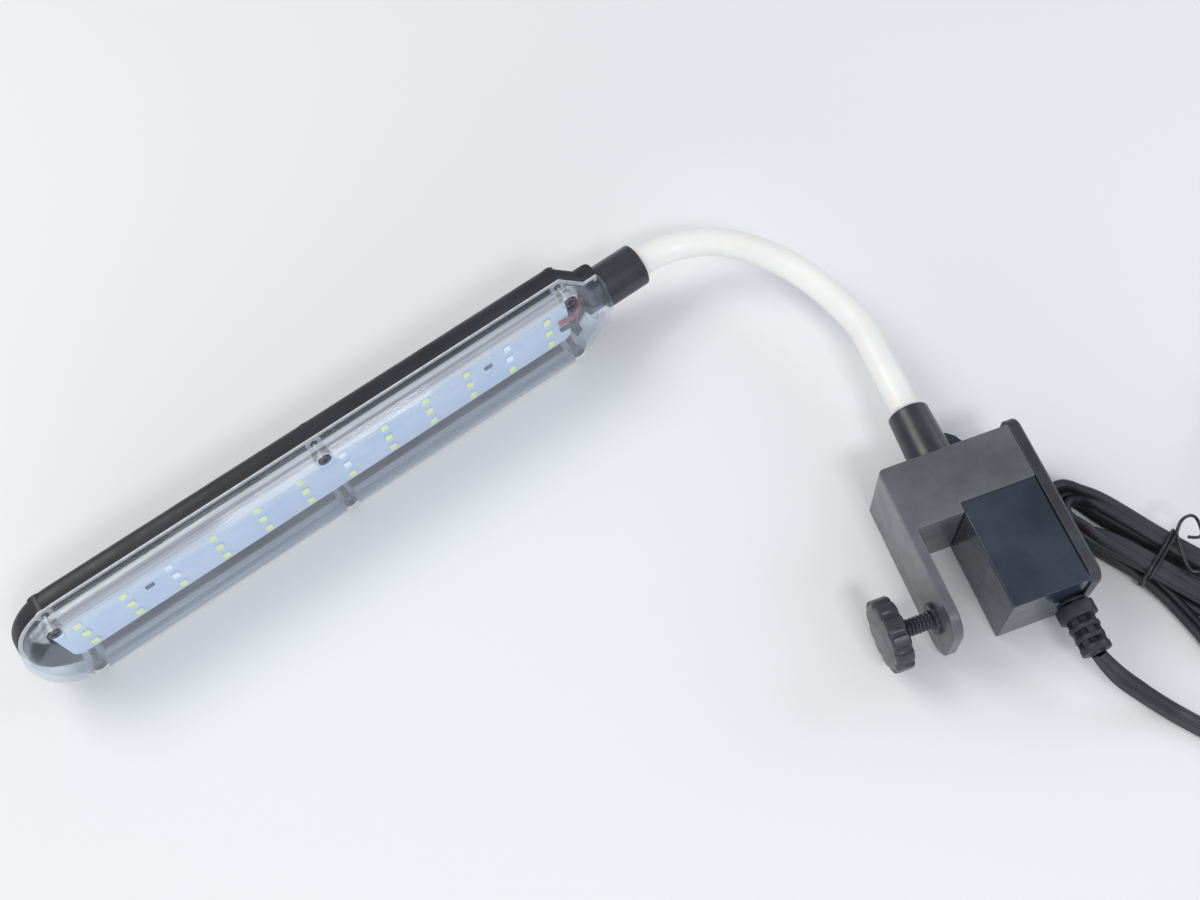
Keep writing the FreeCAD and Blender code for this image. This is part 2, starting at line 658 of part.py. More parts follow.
def twist_tie():
    """Band round the middle of the hank."""
    outer = hank_slab(HANK_WIDTH / 2 + TIE_THICK, -TIE_THICK, HANK_LENGTH + TIE_THICK,
                      0, HANK_HEIGHT + 2 * TIE_THICK)
    window = block(-TIE_WIDTH / 2, TIE_WIDTH / 2, -HANK_WIDTH, HANK_WIDTH, -PAST, HANK_HEIGHT * 2)
    window.Placement = FreeCAD.Placement(hank_point(TIE_AT, 0, 0), FreeCAD.Rotation(Z, HANK_ANGLE))
    return outer.common(window).cut(cord_hank())


def plug_place(shape):
    """Turns and moves a piece of the plug, drawn along +X from the cord's end."""
    heading = TAIL[-1] - TAIL[-2]
    angle = math.degrees(math.atan2(heading.y, heading.x))
    shape.Placement = FreeCAD.Placement(TAIL[-1], FreeCAD.Rotation(Z, angle))
    return shape


def plug_body():
    """Slim two-pin mains plug, narrowing towards the cord."""
    plan = [V(x, -y, -PLUG_HALF) for x, y in PLUG_SIDE]
    plan += [V(x, y, -PLUG_HALF) for x, y in PLUG_SIDE[::-1]]
    body = prism(plan, Z * 2 * PLUG_HALF)
    rims = [e for e in body.Edges if abs(abs(e.CenterOfMass.z) - PLUG_HALF) < TINY]
    return plug_place(body.makeFillet(2.0, rims))


def plug_pins():
    """Two round pins that lean slightly towards each other, ends in the plug's body."""
    pins = [rod(PIN_R, V(PIN_ROOT, side * (PIN_APART + PIN_CONVERGE), 0),
                V(PIN_END, side * PIN_APART, 0)) for side in (-1, 1)]
    return plug_place(Part.makeCompound(pins)).cut(plug_body())


# ---------------------------------------------------------------- assembly

for build in (clamp_body, clamp_lid, lid_screws, clamp_ferrule, strain_relief, switch_frame,
              switch_rocker, driver_board, driver_transformer, driver_capacitor,
              screw_bush, thumb_knob, screw_shaft, screw_tip,
              cord_hank, twist_tie, plug_body, plug_pins):
    keep(build.__name__, build())
keep("cord_lead", cord_tube("cord_lead", LEAD, CORD_R))
keep("cord_tail", cord_tube("cord_tail", TAIL, CORD_R))

pivots = neck_line()
neck_links(pivots)

head_pieces = {build.__name__: build() for build in (
    head_housing, lens_cover, head_gasket, cover_screws, led_board, board_resistors, head_ferrule)}
head_pieces["led_chips_yellow"] = led_chips(white=False)
head_pieces["led_chips_white"] = led_chips(white=True)
head_pieces["wire_positive"] = head_wire(1)
head_pieces["wire_negative"] = head_wire(-1)
tilt = FreeCAD.Rotation(Z, HEAD_TILT)
head_origin = pivots[-1] - tilt.multVec(V(FERRULE_END, NECK_AXIS_Y, 0))
for name, shape in head_pieces.items():
    shape.Placement = FreeCAD.Placement(head_origin, tilt).multiply(shape.Placement)
    keep(name, shape)

for name, shape in made.items():
    shape.translate(SLOT_CORNER)
    shape.exportStep(f"parts/{name}.step")
    box = shape.BoundBox
    print(f"{name}: {len(shape.Solids)} solids, valid {shape.isValid()}, x {box.XMin:.1f} {box.XMax:.1f}"
          f"  y {box.YMin:.1f} {box.YMax:.1f}  z {box.ZMin:.2f} {box.ZMax:.2f}")
for point in pivots:
    print("pivot", [round(c, 3) for c in point + SLOT_CORNER])
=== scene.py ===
import json
import math

import bmesh
import bpy
from mathutils import Euler, Matrix, Vector
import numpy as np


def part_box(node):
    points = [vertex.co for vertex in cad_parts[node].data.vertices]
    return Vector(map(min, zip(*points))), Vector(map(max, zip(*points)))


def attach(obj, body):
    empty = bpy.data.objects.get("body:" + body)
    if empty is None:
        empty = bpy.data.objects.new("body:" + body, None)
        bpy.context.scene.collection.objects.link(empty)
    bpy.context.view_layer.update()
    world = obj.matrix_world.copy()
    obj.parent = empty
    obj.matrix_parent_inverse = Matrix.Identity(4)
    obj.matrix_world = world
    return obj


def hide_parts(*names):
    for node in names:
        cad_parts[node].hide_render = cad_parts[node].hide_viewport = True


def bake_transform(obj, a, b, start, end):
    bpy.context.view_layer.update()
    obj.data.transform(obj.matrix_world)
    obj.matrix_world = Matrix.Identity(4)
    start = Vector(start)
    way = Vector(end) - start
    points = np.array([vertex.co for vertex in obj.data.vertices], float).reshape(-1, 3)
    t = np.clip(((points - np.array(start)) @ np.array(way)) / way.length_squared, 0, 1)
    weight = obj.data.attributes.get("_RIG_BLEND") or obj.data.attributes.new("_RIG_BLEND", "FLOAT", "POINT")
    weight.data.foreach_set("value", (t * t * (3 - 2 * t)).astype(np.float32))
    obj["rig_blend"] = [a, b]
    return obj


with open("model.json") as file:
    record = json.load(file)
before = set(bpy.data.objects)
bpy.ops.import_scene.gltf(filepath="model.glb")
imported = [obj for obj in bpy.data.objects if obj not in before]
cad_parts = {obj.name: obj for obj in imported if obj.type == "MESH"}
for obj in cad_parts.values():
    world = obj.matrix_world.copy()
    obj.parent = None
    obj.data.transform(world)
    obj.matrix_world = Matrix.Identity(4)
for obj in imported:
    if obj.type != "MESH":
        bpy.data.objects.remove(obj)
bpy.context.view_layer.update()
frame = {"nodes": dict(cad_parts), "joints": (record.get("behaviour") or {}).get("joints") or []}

# Looks for the clip-on aquarium lamp, in metres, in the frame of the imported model.  Most pieces
# are drawn about the clamp's slot corner, or in the head's own flat frame: along it towards the
# neck, across its thickness towards its back, and across its width.

MM = 0.001
X, Y, Z = Vector((1, 0, 0)), Vector((0, 1, 0)), Vector((0, 0, 1))


def joint_at(name):
    return Vector(next(j["pos_m"] for j in frame["joints"] if j["name"] == name))


# From the slot's corner, in millimetres: the gooseneck's axis and the saddle's top, where its
# ferrule stands.
NECK_X = 0.2
SADDLE_TOP = 23.3
ferrule_low, ferrule_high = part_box("clamp_ferrule")
ferrule_middle = (ferrule_low[0] + ferrule_high[0]) / 2
SLOT = Vector((ferrule_middle - NECK_X * MM, ferrule_low[1] - SADDLE_TOP * MM, 0))

# In the head's flat frame, in millimetres: the gooseneck's axis and the ferrule's far end.
NECK_AXIS = 4.0
FERRULE_END = 229.2
HEAD_TILT = math.radians(15.9)
LAST_LINK = 8.6 * MM
head_turn = Matrix.Rotation(HEAD_TILT, 4, "Z")
neck_end = joint_at("gooseneck_bend_5") - head_turn @ (X * LAST_LINK)
ferrule_end = Vector((FERRULE_END * MM, NECK_AXIS * MM, 0))
HEAD = Matrix.Translation(neck_end - head_turn @ ferrule_end) @ head_turn


def at(x, y, z):
    """Point given in millimetres from the clamp's slot corner."""
    return SLOT + Vector((x, y, z)) * MM


def on_head(x, y, z):
    """Point given in millimetres in the head's flat frame."""
    return HEAD @ (Vector((x, y, z)) * MM)


# ---------------------------------------------------------------- camera, light and floor

CAMERA_AT = (-0.57 * MM, -173.42 * MM, 436.76 * MM)
CAMERA_TURN = (25.409, 4.449, -19.3563)
CAMERA_LENS = 40.41
FLOOR_HALF = 4.0
FLOOR_DROP = 0.05 * MM


def add_camera():
    data = bpy.data.cameras.new("camera")
    data.lens = CAMERA_LENS
    data.sensor_width = 36.0
    data.clip_start = 0.01
    camera = bpy.data.objects.new("camera", data)
    camera.location = CAMERA_AT
    camera.rotation_euler = Euler([math.radians(a) for a in CAMERA_TURN])
    bpy.context.collection.objects.link(camera)
    bpy.context.scene.camera = camera


def add_area(name, place, aim, size, power, colour=(1, 1, 1)):
    data = bpy.data.lights.new(name, "AREA")
    data.shape = "RECTANGLE"
    data.size, data.size_y = size
    data.energy = power
    data.color = colour
    light = bpy.data.objects.new(name, data)
    light.location = place
    light.rotation_euler = (Vector(aim) - Vector(place)).to_track_quat("-Z", "Y").to_euler()
    bpy.context.collection.objects.link(light)


def add_studio():
    world = bpy.data.worlds.new("studio")
    world.use_nodes = True
    background = world.node_tree.nodes["Background"]
    background.inputs["Color"].default_value = (0.92, 0.95, 1.0, 1)
    background.inputs["Strength"].default_value = 0.5
    bpy.context.scene.world = world
    bpy.context.scene.view_settings.view_transform = "Standard"
    add_area("key", (-0.45, 0.45, 0.8), (0, 0, 0), (0.6, 0.45), 4.2, (1.0, 0.98, 0.95))
    add_area("front", (0.16, -0.62, 0.85), (0, 0, 0), (0.28, 0.16), 2.6, (0.97, 0.98, 1.0))
    add_area("side", (0.8, 0.1, 0.4), (0.1, 0, 0.02), (0.4, 0.4), 1.2, (0.9, 0.95, 1.0))
    add_area("low", (-0.25, -0.75, 0.22), (0.05, -0.05, 0.0), (0.9, 0.2), 2.2)


def add_floor():
    """Plain tabletop, a hair below the pieces that lie on it."""
    mesh = bpy.data.meshes.new("floor")
    corners = [(x * FLOOR_HALF, y * FLOOR_HALF, -FLOOR_DROP)
               for x, y in ((-1, -1), (1, -1), (1, 1), (-1, 1))]
    mesh.from_pydata(corners, [], [(0, 1, 2, 3)])
    floor = bpy.data.objects.new("floor", mesh)
    bpy.context.collection.objects.link(floor)
    mesh.materials.append(Finish("floor", (0.80, 0.81, 0.82), 0.7).material)


# ---------------------------------------------------------------- materials


class Finish:
    """A Principled material whose colour, roughness and surface vary by noise in object space."""

    def __init__(self, name, colour, rough):
        self.material = bpy.data.materials.new(name)
        self.material.use_nodes = True
        self.tree = self.material.node_tree
        self.shader = self.tree.nodes["Principled BSDF"]
        self.set("Base Color", (*colour, 1))
        self.set("Roughness", rough)
        self.colour = colour
        self.place = self.tree.nodes.new("ShaderNodeTexCoord").outputs["Object"]
        self.normal = None

    def set(self, socket, value):
        """Puts a constant on one of the shader's own sockets."""
        self.shader.inputs[socket].default_value = value
        return self

    def link(self, output, socket):
        self.tree.links.new(output, self.shader.inputs[socket])
        return self

    def node(self, kind, **values):
        """New node; each value is an input's constant or link, or a property of the node."""
        made = self.tree.nodes.new("ShaderNode" + kind)
        for key, value in values.items():
            if key in made.inputs:
                if hasattr(value, "links"):
                    self.tree.links.new(value, made.inputs[key])
                else:
                    made.inputs[key].default_value = value
            else:
                setattr(made, key, value)
        return made

    def noise(self, scale, detail=3.0, roughness=0.55, stretch=None):
        """Noise between 0 and 1; stretch scales each axis first."""
        place = self.place
        if stretch is not None:
            mapping = self.node("Mapping", Vector=self.place, Scale=stretch)
            place = mapping.outputs["Vector"]
        made = self.node("TexNoise", Vector=place, Scale=scale, Detail=detail, Roughness=roughness)
        return made.outputs["Fac"]

    def span(self, value, low, high, start=0.35, end=0.65):
        """The stretch of a value from start to end, mapped to low and high."""
        made = self.node("MapRange", Value=value)
        for key, number in (("From Min", start), ("From Max", end),
                            ("To Min", low), ("To Max", high)):
            made.inputs[key].default_value = number
        return made.outputs["Result"]

    def math(self, operation, *values):
        """Two outputs combined; a sum stops at 1."""
        made = self.node("Math", operation=operation, use_clamp=operation == "ADD")
        for socket, value in zip(made.inputs, values):
            self.tree.links.new(value, socket)
        return made.outputs[0]

    def mixed(self, factor, first, second):
        """Colour between two, each an output or three numbers."""
        made = self.node("Mix", data_type="RGBA")
        self.tree.links.new(factor, made.inputs["Factor"])
        for socket, value in ((made.inputs[6], first), (made.inputs[7], second)):
            if hasattr(value, "links"):
                self.tree.links.new(value, socket)
            else:
                socket.default_value = (*value, 1)
        return made.outputs[2]

    def tinted(self, other, scale, start=0.35, end=0.65, **how):
        """Colour drifts between the base colour and another."""
        factor = self.span(self.noise(scale, **how), 0, 1, start, end)
        return self.link(self.mixed(factor, self.colour, other), "Base Color")

    def worn(self, low, high, scale, **how):
        """Roughness drifts between two values."""
        return self.link(self.span(self.noise(scale, **how), low, high), "Roughness")

    def bumped(self, height, depth, strength=0.4):
        """Adds a bump on top of those already there."""
        made = self.node("Bump", Height=height, Distance=depth, Strength=strength)
        if self.normal is not None:
            self.tree.links.new(self.normal, made.inputs["Normal"])
        self.normal = made.outputs["Normal"]
        return self.link(self.normal, "Normal")

    def grained(self, scale, depth, strength=0.4, **how):
        return self.bumped(self.noise(scale, **how), depth, strength)


def moulded(name, colour, light, rough, grain=2600.0, depth=0.02 * MM):
    """Moulded plastic: cloudy colour, patchy gloss, fine grain and faint rubbed streaks."""
    finish = Finish(name, colour, sum(rough) / 2)
    finish.tinted(light, 55.0, 0.38, 0.72, detail=4.0)
    finish.worn(*rough, 120.0, detail=5.0)
    finish.grained(grain, depth, 0.35)
    return finish.grained(240.0, 0.05 * MM, 0.12, stretch=(1, 9, 1), detail=2.0)


def gloss_black():
    finish = moulded("gloss black", (0.010, 0.017, 0.032), (0.028, 0.040, 0.062), (0.16, 0.32),
                     1800.0)
    return finish.set("Coat Weight", 0.3).set("Coat Roughness", 0.12)


def saddle_black():
    """The same plastic with a matt, spark-eroded face that catches more light."""
    finish = moulded("saddle black", (0.062, 0.068, 0.080), (0.108, 0.115, 0.130), (0.34, 0.50),
                     1500.0)
    finish.grained(3200.0, 0.03 * MM, 0.4)
    return finish.set("IOR", 1.6).set("Coat Weight", 0.45).set("Coat Roughness", 0.2)


def satin_black():
    finish = moulded("satin black", (0.016, 0.019, 0.026), (0.034, 0.039, 0.048), (0.30, 0.46))
    return finish.set("Coat Weight", 0.25).set("Coat Roughness", 0.25)


def housing_black():
    return moulded("housing black", (0.012, 0.014, 0.018), (0.022, 0.025, 0.031), (0.40, 0.58))


def rib_black():
    return moulded("rib black", (0.016, 0.018, 0.024), (0.03, 0.032, 0.04), (0.42, 0.6),
                   1600.0, 0.04 * MM)


def white_silicone():
    finish = Finish("white silicone", (0.86, 0.86, 0.84), 0.42)
    finish.tinted((0.80, 0.80, 0.775), 45.0, detail=3.0)
    finish.worn(0.34, 0.52, 90.0)
    finish.set("Subsurface Weight", 0.12).set("Subsurface Scale", 2 * MM)
    return finish.grained(1500.0, 0.03 * MM, 0.25)


def board_white():
    finish = Finish("solder mask", (0.60, 0.72, 0.86), 0.38)
    finish.tinted((0.68, 0.78, 0.90), 60.0)
    finish.worn(0.3, 0.46, 300.0)
    finish.set("Coat Weight", 0.2)
    return finish.grained(1200.0, 0.02 * MM, 0.3)


def phosphor(name, colour, edge):
    """An unlit chip's window with a faint painted glow, emission in its own colour, so that it reads bright
    through the cover.
    """
    finish = Finish(name, colour, 0.28)
    finish.tinted(edge, 900.0)
    finish.worn(0.2, 0.36, 700.0)
    finish.set("Subsurface Weight", 0.2).set("Subsurface Scale", 0.5 * MM)
    finish.set("Coat Weight", 0.5)
    # Painted glow: the unlit window gives off a little light in its own colour.
    finish.set("Emission Color", (*colour, 1)).set("Emission Strength", 0.3)
    return finish.grained(5000.0, 0.01 * MM, 0.3)


def steel(name, colour, rough):
    finish = Finish(name, colour, rough)
    finish.set("Metallic", 1.0)
    finish.tinted(tuple(c * 0.7 for c in colour), 700.0)
    finish.worn(rough * 0.7, rough * 1.4, 900.0)
    return finish.grained(4000.0, 0.01 * MM, 0.3)


def plain(name, colour, other, rough, scale=400.0):
    """Small part's finish: two near colours, patchy gloss and fine grain."""
    finish = Finish(name, colour, rough)
    finish.tinted(other, scale)
    finish.worn(rough * 0.8, min(rough * 1.25, 1.0), scale * 1.7)
    return finish.grained(scale * 6, 0.02 * MM, 0.3)


# In the head's flat frame: the depths where the painted sheen on the shoulders and walls fades in at the
# cover's face and out near its seam, and how far from the middle it starts.
PAINTED_SHEEN_FACE = (-6.7 * MM, -6.3 * MM)
PAINTED_SHEEN_SEAM = (0.5 * MM, 0.9 * MM)
PAINTED_SHEEN_SIDE = (16.9 * MM, 17.4 * MM)


def clear_cover():
    """Clear plastic that light passes, with a sheen towards its edges and long flow streaks.
    Its shoulders and long walls carry a streaked, milky painted highlight standing in for the light they
    reflect, and the lower walls are painted paler for the bright floor seen through them."""
    finish = Finish("clear cover", (0.60, 0.64, 0.70), 0.07)
    finish.set("IOR", 1.5).set("Coat Weight", 0.6).set("Coat Roughness", 0.04)
    origin = Matrix.Rotation(-HEAD_TILT, 3, "Z") @ HEAD.translation
    local = finish.node("Mapping", Vector=finish.place, Rotation=(0, 0, -HEAD_TILT),
                        Location=-origin)
    finish.place = local.outputs["Vector"]
    axes = finish.node("SeparateXYZ", Vector=finish.place)
    depth = axes.outputs["Y"]
    across = finish.math("ABSOLUTE", axes.outputs["Z"])
    streaks = finish.noise(200.0, detail=3.0, stretch=(0.02, 1, 1))
    haze = finish.noise(38.0, detail=4.0)
    # Painted highlight: the shoulders and long walls turn milky and streaked, standing in for light they
    # reflect.
    painted_sheen = finish.math("MULTIPLY", finish.span(depth, 0, 1, *PAINTED_SHEEN_FACE),
                         finish.span(depth, 1, 0, *PAINTED_SHEEN_SEAM))
    painted_sheen = finish.math("MULTIPLY", painted_sheen, finish.span(across, 0, 1, *PAINTED_SHEEN_SIDE))
    sheen_streaks = finish.noise(420.0, detail=2.0, stretch=(0.012, 1, 1))
    # Painted light: the lower walls get a paler colour and more opacity, standing in for the bright floor
    # seen through them.
    lower = finish.span(axes.outputs["Z"], 1, 0, -PAINTED_SHEEN_SIDE[1], -PAINTED_SHEEN_SIDE[0])
    finish.link(finish.mixed(lower, finish.colour, (0.88, 0.89, 0.91)), "Base Color")
    finish.link(finish.span(streaks, 0.04, 0.16, 0.4, 0.75), "Roughness")
    finish.bumped(streaks, 0.03 * MM, 0.12)
    edge = finish.node("LayerWeight", Blend=0.3).outputs["Facing"]
    shares = (finish.span(edge, 0.05, 0.5, 0.2, 1.0),
              finish.span(haze, 0.0, 0.05, 0.45, 0.75),
              finish.span(streaks, 0.0, 0.07, 0.5, 0.8),
              finish.math("MULTIPLY", painted_sheen, finish.span(sheen_streaks, 0.18, 0.62, 0.36, 0.64)),
              finish.math("MULTIPLY", painted_sheen, finish.span(lower, 0, 0.3, 0, 1)))
    total = shares[0]
    for share in shares[1:]:
        total = finish.math("ADD", total, share)
    see_through = finish.node("BsdfTransparent", Color=(0.95, 0.97, 1.0, 1))
    blend = finish.node("MixShader", Fac=total)
    finish.tree.links.new(see_through.outputs[0], blend.inputs[1])
    finish.tree.links.new(finish.shader.outputs[0], blend.inputs[2])
    output = finish.tree.nodes["Material Output"]
    finish.tree.links.new(blend.outputs[0], output.inputs["Surface"])
    return finish


MATERIALS = {
    "gloss_black": gloss_black(),
    "saddle_black": saddle_black(),
    "housing_black": housing_black(),
    "black_plastic": satin_black(),
    "cord_black": rib_black(),
    "tie_black": plain("tie vinyl", (0.015, 0.016, 0.02), (0.03, 0.03, 0.036), 0.35),
    "clear_cover": clear_cover(),
    "white_sleeve": white_silicone(),
    "board_white": board_white(),
    "led_yellow": phosphor("yellow phosphor", (0.80, 0.84, 0.30), (0.70, 0.76, 0.20)),
    "led_white": phosphor("white phosphor", (0.84, 0.90, 0.95), (0.74, 0.82, 0.90)),
    "screw_steel": steel("dark screw steel", (0.20, 0.20, 0.22), 0.32),
    "core_steel": steel("core steel", (0.5, 0.5, 0.52), 0.35),
    "pin_nickel": steel("nickel", (0.72, 0.70, 0.66), 0.2),
    "gasket_rubber": plain("gasket rubber", (0.52, 0.54, 0.56), (0.66, 0.68, 0.70), 0.5),
    "resistor_black": plain("resistor", (0.03, 0.03, 0.035), (0.06, 0.06, 0.07), 0.4, 900.0),
    "wire_red": plain("red vinyl", (0.34, 0.03, 0.05), (0.42, 0.05, 0.08), 0.32),
    "wire_black": plain("black vinyl", (0.02, 0.02, 0.03), (0.04, 0.04, 0.05), 0.32),
    "rocker_red": plain("moulded red", (0.62, 0.03, 0.015), (0.74, 0.05, 0.03), 0.24, 260.0),
    "board_green": plain("green solder mask", (0.03, 0.18, 0.08), (0.05, 0.24, 0.11), 0.35),
    "transformer_tape": plain("yellow tape", (0.74, 0.52, 0.08), (0.8, 0.6, 0.16), 0.4),
    "capacitor_sleeve": plain("dark blue sleeve", (0.02, 0.04, 0.12), (0.03, 0.06, 0.17), 0.3),
    "tip_rubber": plain("tip rubber", (0.02, 0.02, 0.02), (0.04, 0.04, 0.04), 0.6),
}


# ---------------------------------------------------------------- building meshes


def shown(name, mesh, slot, smooth_below=40.0, finish=None):
    """Puts a mesh in the scene with a finish, its slot's own unless another is named, and
    smooth but for its sharper edges."""
    mesh.shade_smooth()
    mesh.set_sharp_from_angle(angle=math.radians(smooth_below))
    piece = bpy.data.objects.new(name, mesh)
    bpy.context.collection.objects.link(piece)
    mesh.materials.clear()
    mesh.materials.append(MATERIALS[finish or slot].material)
    return piece


def mounted(name, mesh, slot, body, *nodes, smooth_below=40.0, finish=None):
    """The same, riding on a body and standing for CAD nodes."""
    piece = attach(shown(name, mesh, slot, smooth_below, finish), body)
    if nodes:
        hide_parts(*nodes)
    return piece


def eased(piece, width, steps=2, angle=35.0):
    """Rounds a piece's edges, with flat faces kept flat."""
    bevel = piece.modifiers.new("edges", "BEVEL")
    bevel.width = width
    bevel.segments = steps
    bevel.limit_method = "ANGLE"
    bevel.angle_limit = math.radians(angle)
    bevel.use_clamp_overlap = False
    bevel.harden_normals = True
    return piece


def cut_away(piece, cutter, operation="DIFFERENCE"):
    """Takes a mesh out of a piece, or joins it on, for good."""
    tool = bpy.data.objects.new("cutter", mesh_of(cutter, "cutter"))
    bpy.context.collection.objects.link(tool)
    cut = piece.modifiers.new("cut", "BOOLEAN")
    cut.operation, cut.solver, cut.object = operation, "EXACT", tool
    bpy.context.view_layer.update()
    solved = piece.evaluated_get(bpy.context.evaluated_depsgraph_get())
    mesh = bpy.data.meshes.new_from_object(solved)
    piece.modifiers.clear()
    piece.data = mesh
    bpy.data.objects.remove(tool)


def mesh_of(bm, name):
    """The finished mesh of a bmesh, its faces turned outward."""
    bmesh.ops.recalc_face_normals(bm, faces=bm.faces)
    mesh = bpy.data.meshes.new(name)
    bm.to_mesh(mesh)
    bm.free()
    return mesh


def soften(bm, width):
    """Rounds every edge that turns by more than 60 degrees."""
    sharp = [e for e in bm.edges if e.is_manifold and e.calc_face_angle() > math.radians(60)]
    bmesh.ops.bevel(bm, geom=sharp, offset=width, offset_type="OFFSET", segments=2,
                    profile=0.5, affect="EDGES", clamp_overlap=True, miter_outer="ARC")


def softened(node, slot, body, width, steps=2, angle=35.0):
    """A CAD node's shape again with its edges rounded, standing for the node."""
    bm = bmesh.new()
    bm.from_mesh(frame["nodes"][node].data)
    for layer in list(bm.loops.layers.float_vector.values()):
        bm.loops.layers.float_vector.remove(layer)
    bmesh.ops.remove_doubles(bm, verts=bm.verts, dist=0.003 * MM)
    bmesh.ops.dissolve_limit(bm, angle_limit=math.radians(0.6), verts=bm.verts, edges=bm.edges)
    mesh = mesh_of(bm, node)
    for stale in [a for a in mesh.attributes if a.name == "custom_normal"]:
        mesh.attributes.remove(stale)
    return eased(mounted(node + "_shown", mesh, slot, body, node), width, steps, angle)


def rounded(corners, radius, steps=6):
    """Closed outline with its corners rounded; radius may be one number or one a corner."""
    count = len(corners)
    radii = radius if isinstance(radius, (list, tuple)) else [radius] * count
    points = []
    for k, corner in enumerate(corners):
        here = Vector(corner)
        before, after = Vector(corners[k - 1]) - here, Vector(corners[(k + 1) % count]) - here
        r = radii[k]
        if r <= 0:
            points.append(here)
            continue
        half = before.angle(after) / 2
        cut = r / math.tan(half)
        back, on = before.normalized(), after.normalized()
        start, end = here + back * cut, here + on * cut
        centre = here + (back + on).normalized() * (r / math.sin(half))
        a, b = start - centre, end - centre
        sweep = a.angle(b)
        for i in range(steps + 1):
            share = i / steps
            mixed = a * math.sin((1 - share) * sweep) + b * math.sin(share * sweep)
            points.append(centre + mixed / math.sin(sweep))
    return points


def skinned(rings, closed=False, caps=True):
    """Mesh through rings of points, its first and last capped unless it closes on itself."""
    bm = bmesh.new()
    rings = [[bm.verts.new(point) for point in ring] for ring in rings]
    pairs = list(zip(rings, rings[1:]))
    if closed:
        pairs.append((rings[-1], rings[0]))
    count = len(rings[0])
    for a, b in pairs:
        for k in range(count):
            n = (k + 1) % count
            bm.faces.new((a[k], a[n], b[n], b[k]))
    if caps and not closed:
        bm.faces.new(rings[0][::-1])
        bm.faces.new(rings[-1])
    return bm


def block(first, second):
    """Solid between two outlines that have the same number of points."""
    bm = skinned([first, second])
    bmesh.ops.recalc_face_normals(bm, faces=bm.faces)
    return bm


def upright_bar(outline, low, high):
    """Bar of an (x, y) outline standing between two heights, from the clamp's slot corner."""
    return block(*([at(p[0], p[1], z) for p in outline] for z in (low, high)))


def angles_of(steps):
    """Equal angles once round a circle."""
    return [2 * math.pi * k / steps for k in range(steps)]


def turned(profile, start, along, side, steps=48, dent=None):
    """Round piece: (distance, radius) pairs in millimetres along an axis from a point.
    Angles count from the side; dent(angle) takes that much off the radius."""
    other = along.cross(side)
    rings = []
    for distance, radius in profile:
        ring = []
        for angle in angles_of(steps):
            r = radius - (dent(angle) if dent else 0)
            out = side * math.cos(angle) + other * math.sin(angle)
            ring.append(start + along * distance * MM + out * r * MM)
        rings.append(ring)
    return skinned(rings)


def tangents(path):
    """Direction of a path at each of its points."""
    last = len(path) - 1
    return [(path[min(k + 1, last)] - path[max(k - 1, 0)]).normalized() for k in range(last + 1)]


def round_tube(path, radius, steps):
    """Round tube along a path; the ring's start is carried along without twist."""
    side = tangents(path)[0].orthogonal().normalized()
    rings = []
    for point, t in zip(path, tangents(path)):
        side = (side - t * side.dot(t)).normalized()
        other = t.cross(side)
        rings.append([point + (side * math.cos(a) + other * math.sin(a)) * radius
                      for a in angles_of(steps)])
    return skinned(rings)


def merged(parts):
    """One bmesh of several."""
    whole = bmesh.new()
    for part in parts:
        mesh = bpy.data.meshes.new("part")
        part.to_mesh(mesh)
        part.free()
        whole.from_mesh(mesh)
        bpy.data.meshes.remove(mesh)
    return whole


# ---------------------------------------------------------------- cord

CORD_WIDTH = 6.2 * MM
CORD_THICK = 3.2 * MM
CORD_LIES_AT = 3.1 * MM
LEAD = [(21.4, -53.8, 15.4), (23.9, -60.2, 12.7), (30.3, -67.3, 7.4), (38.9, -76.8, 3.7),
        (48.6, -88.6, 3.1), (58.5, -102.5, 3.1), (66.0, -115.0, 3.1), (75.0, -125.8, 3.1),
        (87.5, -130.5, 3.1), (101.0, -127.5, 3.1), (110.6, -117.6, 3.1), (113.3, -104.0, 3.1),
        (108.4, -90.8, 3.1), (96.8, -82.6, 3.1), (83.0, -80.4, 3.1), (70.5, -75.4, 3.1),
        (61.4, -65.6, 3.1), (59.2, -53.0, 3.3), (56.0, -41.0, 4.4)]

# The hank's end beside the lid, and its direction from there.  Each pass is its place across,
# its height and its stops along; each bight is how far along it reaches.
HANK_AT = (33.6, 4.2)
HANK_ANGLE = math.radians(-54.9)
HANK_PASSES = [(-5.9, 5.6, (36.0, 21.0)), (5.7, 2.6, (20.0, 42.0, 68.0)),
               (-5.3, 2.5, (70.0, 42.0, 22.0)), (5.1, 8.8, (23.0, 42.0, 67.0)),
               (-5.6, 8.9, (69.0, 42.0, 20.0)), (5.9, 12.0, (21.0, 42.0, 69.0)),
               (-5.4, 12.1, (70.0, 42.0, 25.0)), (5.5, 5.7, (26.0, 42.0, 54.0))]
HANK_BIGHTS = (1.7, 94.2, 5.2, 90.4, 1.9, 94.0, 8.6)
BIGHT_STEP = 45.0
BIGHT_LOW, BIGHT_HIGH = 3.3, 10.7
TIE_AT, TIE_REACH, TIE_PINCH = 42.0, 5.0, 0.86
TAIL = [(75.4, -43.6, 5.0), (86.7, -47.7, 3.4), (99.0, -45.4, 3.1), (108.4, -37.2, 4.2),
        (112.0, -26.3, 6.6)]


def in_hank(along, across, z):
    """Point in millimetres along and across the hank, from its end beside the lid."""
    c, s = math.cos(HANK_ANGLE), math.sin(HANK_ANGLE)
    return at(HANK_AT[0] + c * along - s * across, HANK_AT[1] + s * along + c * across, z)


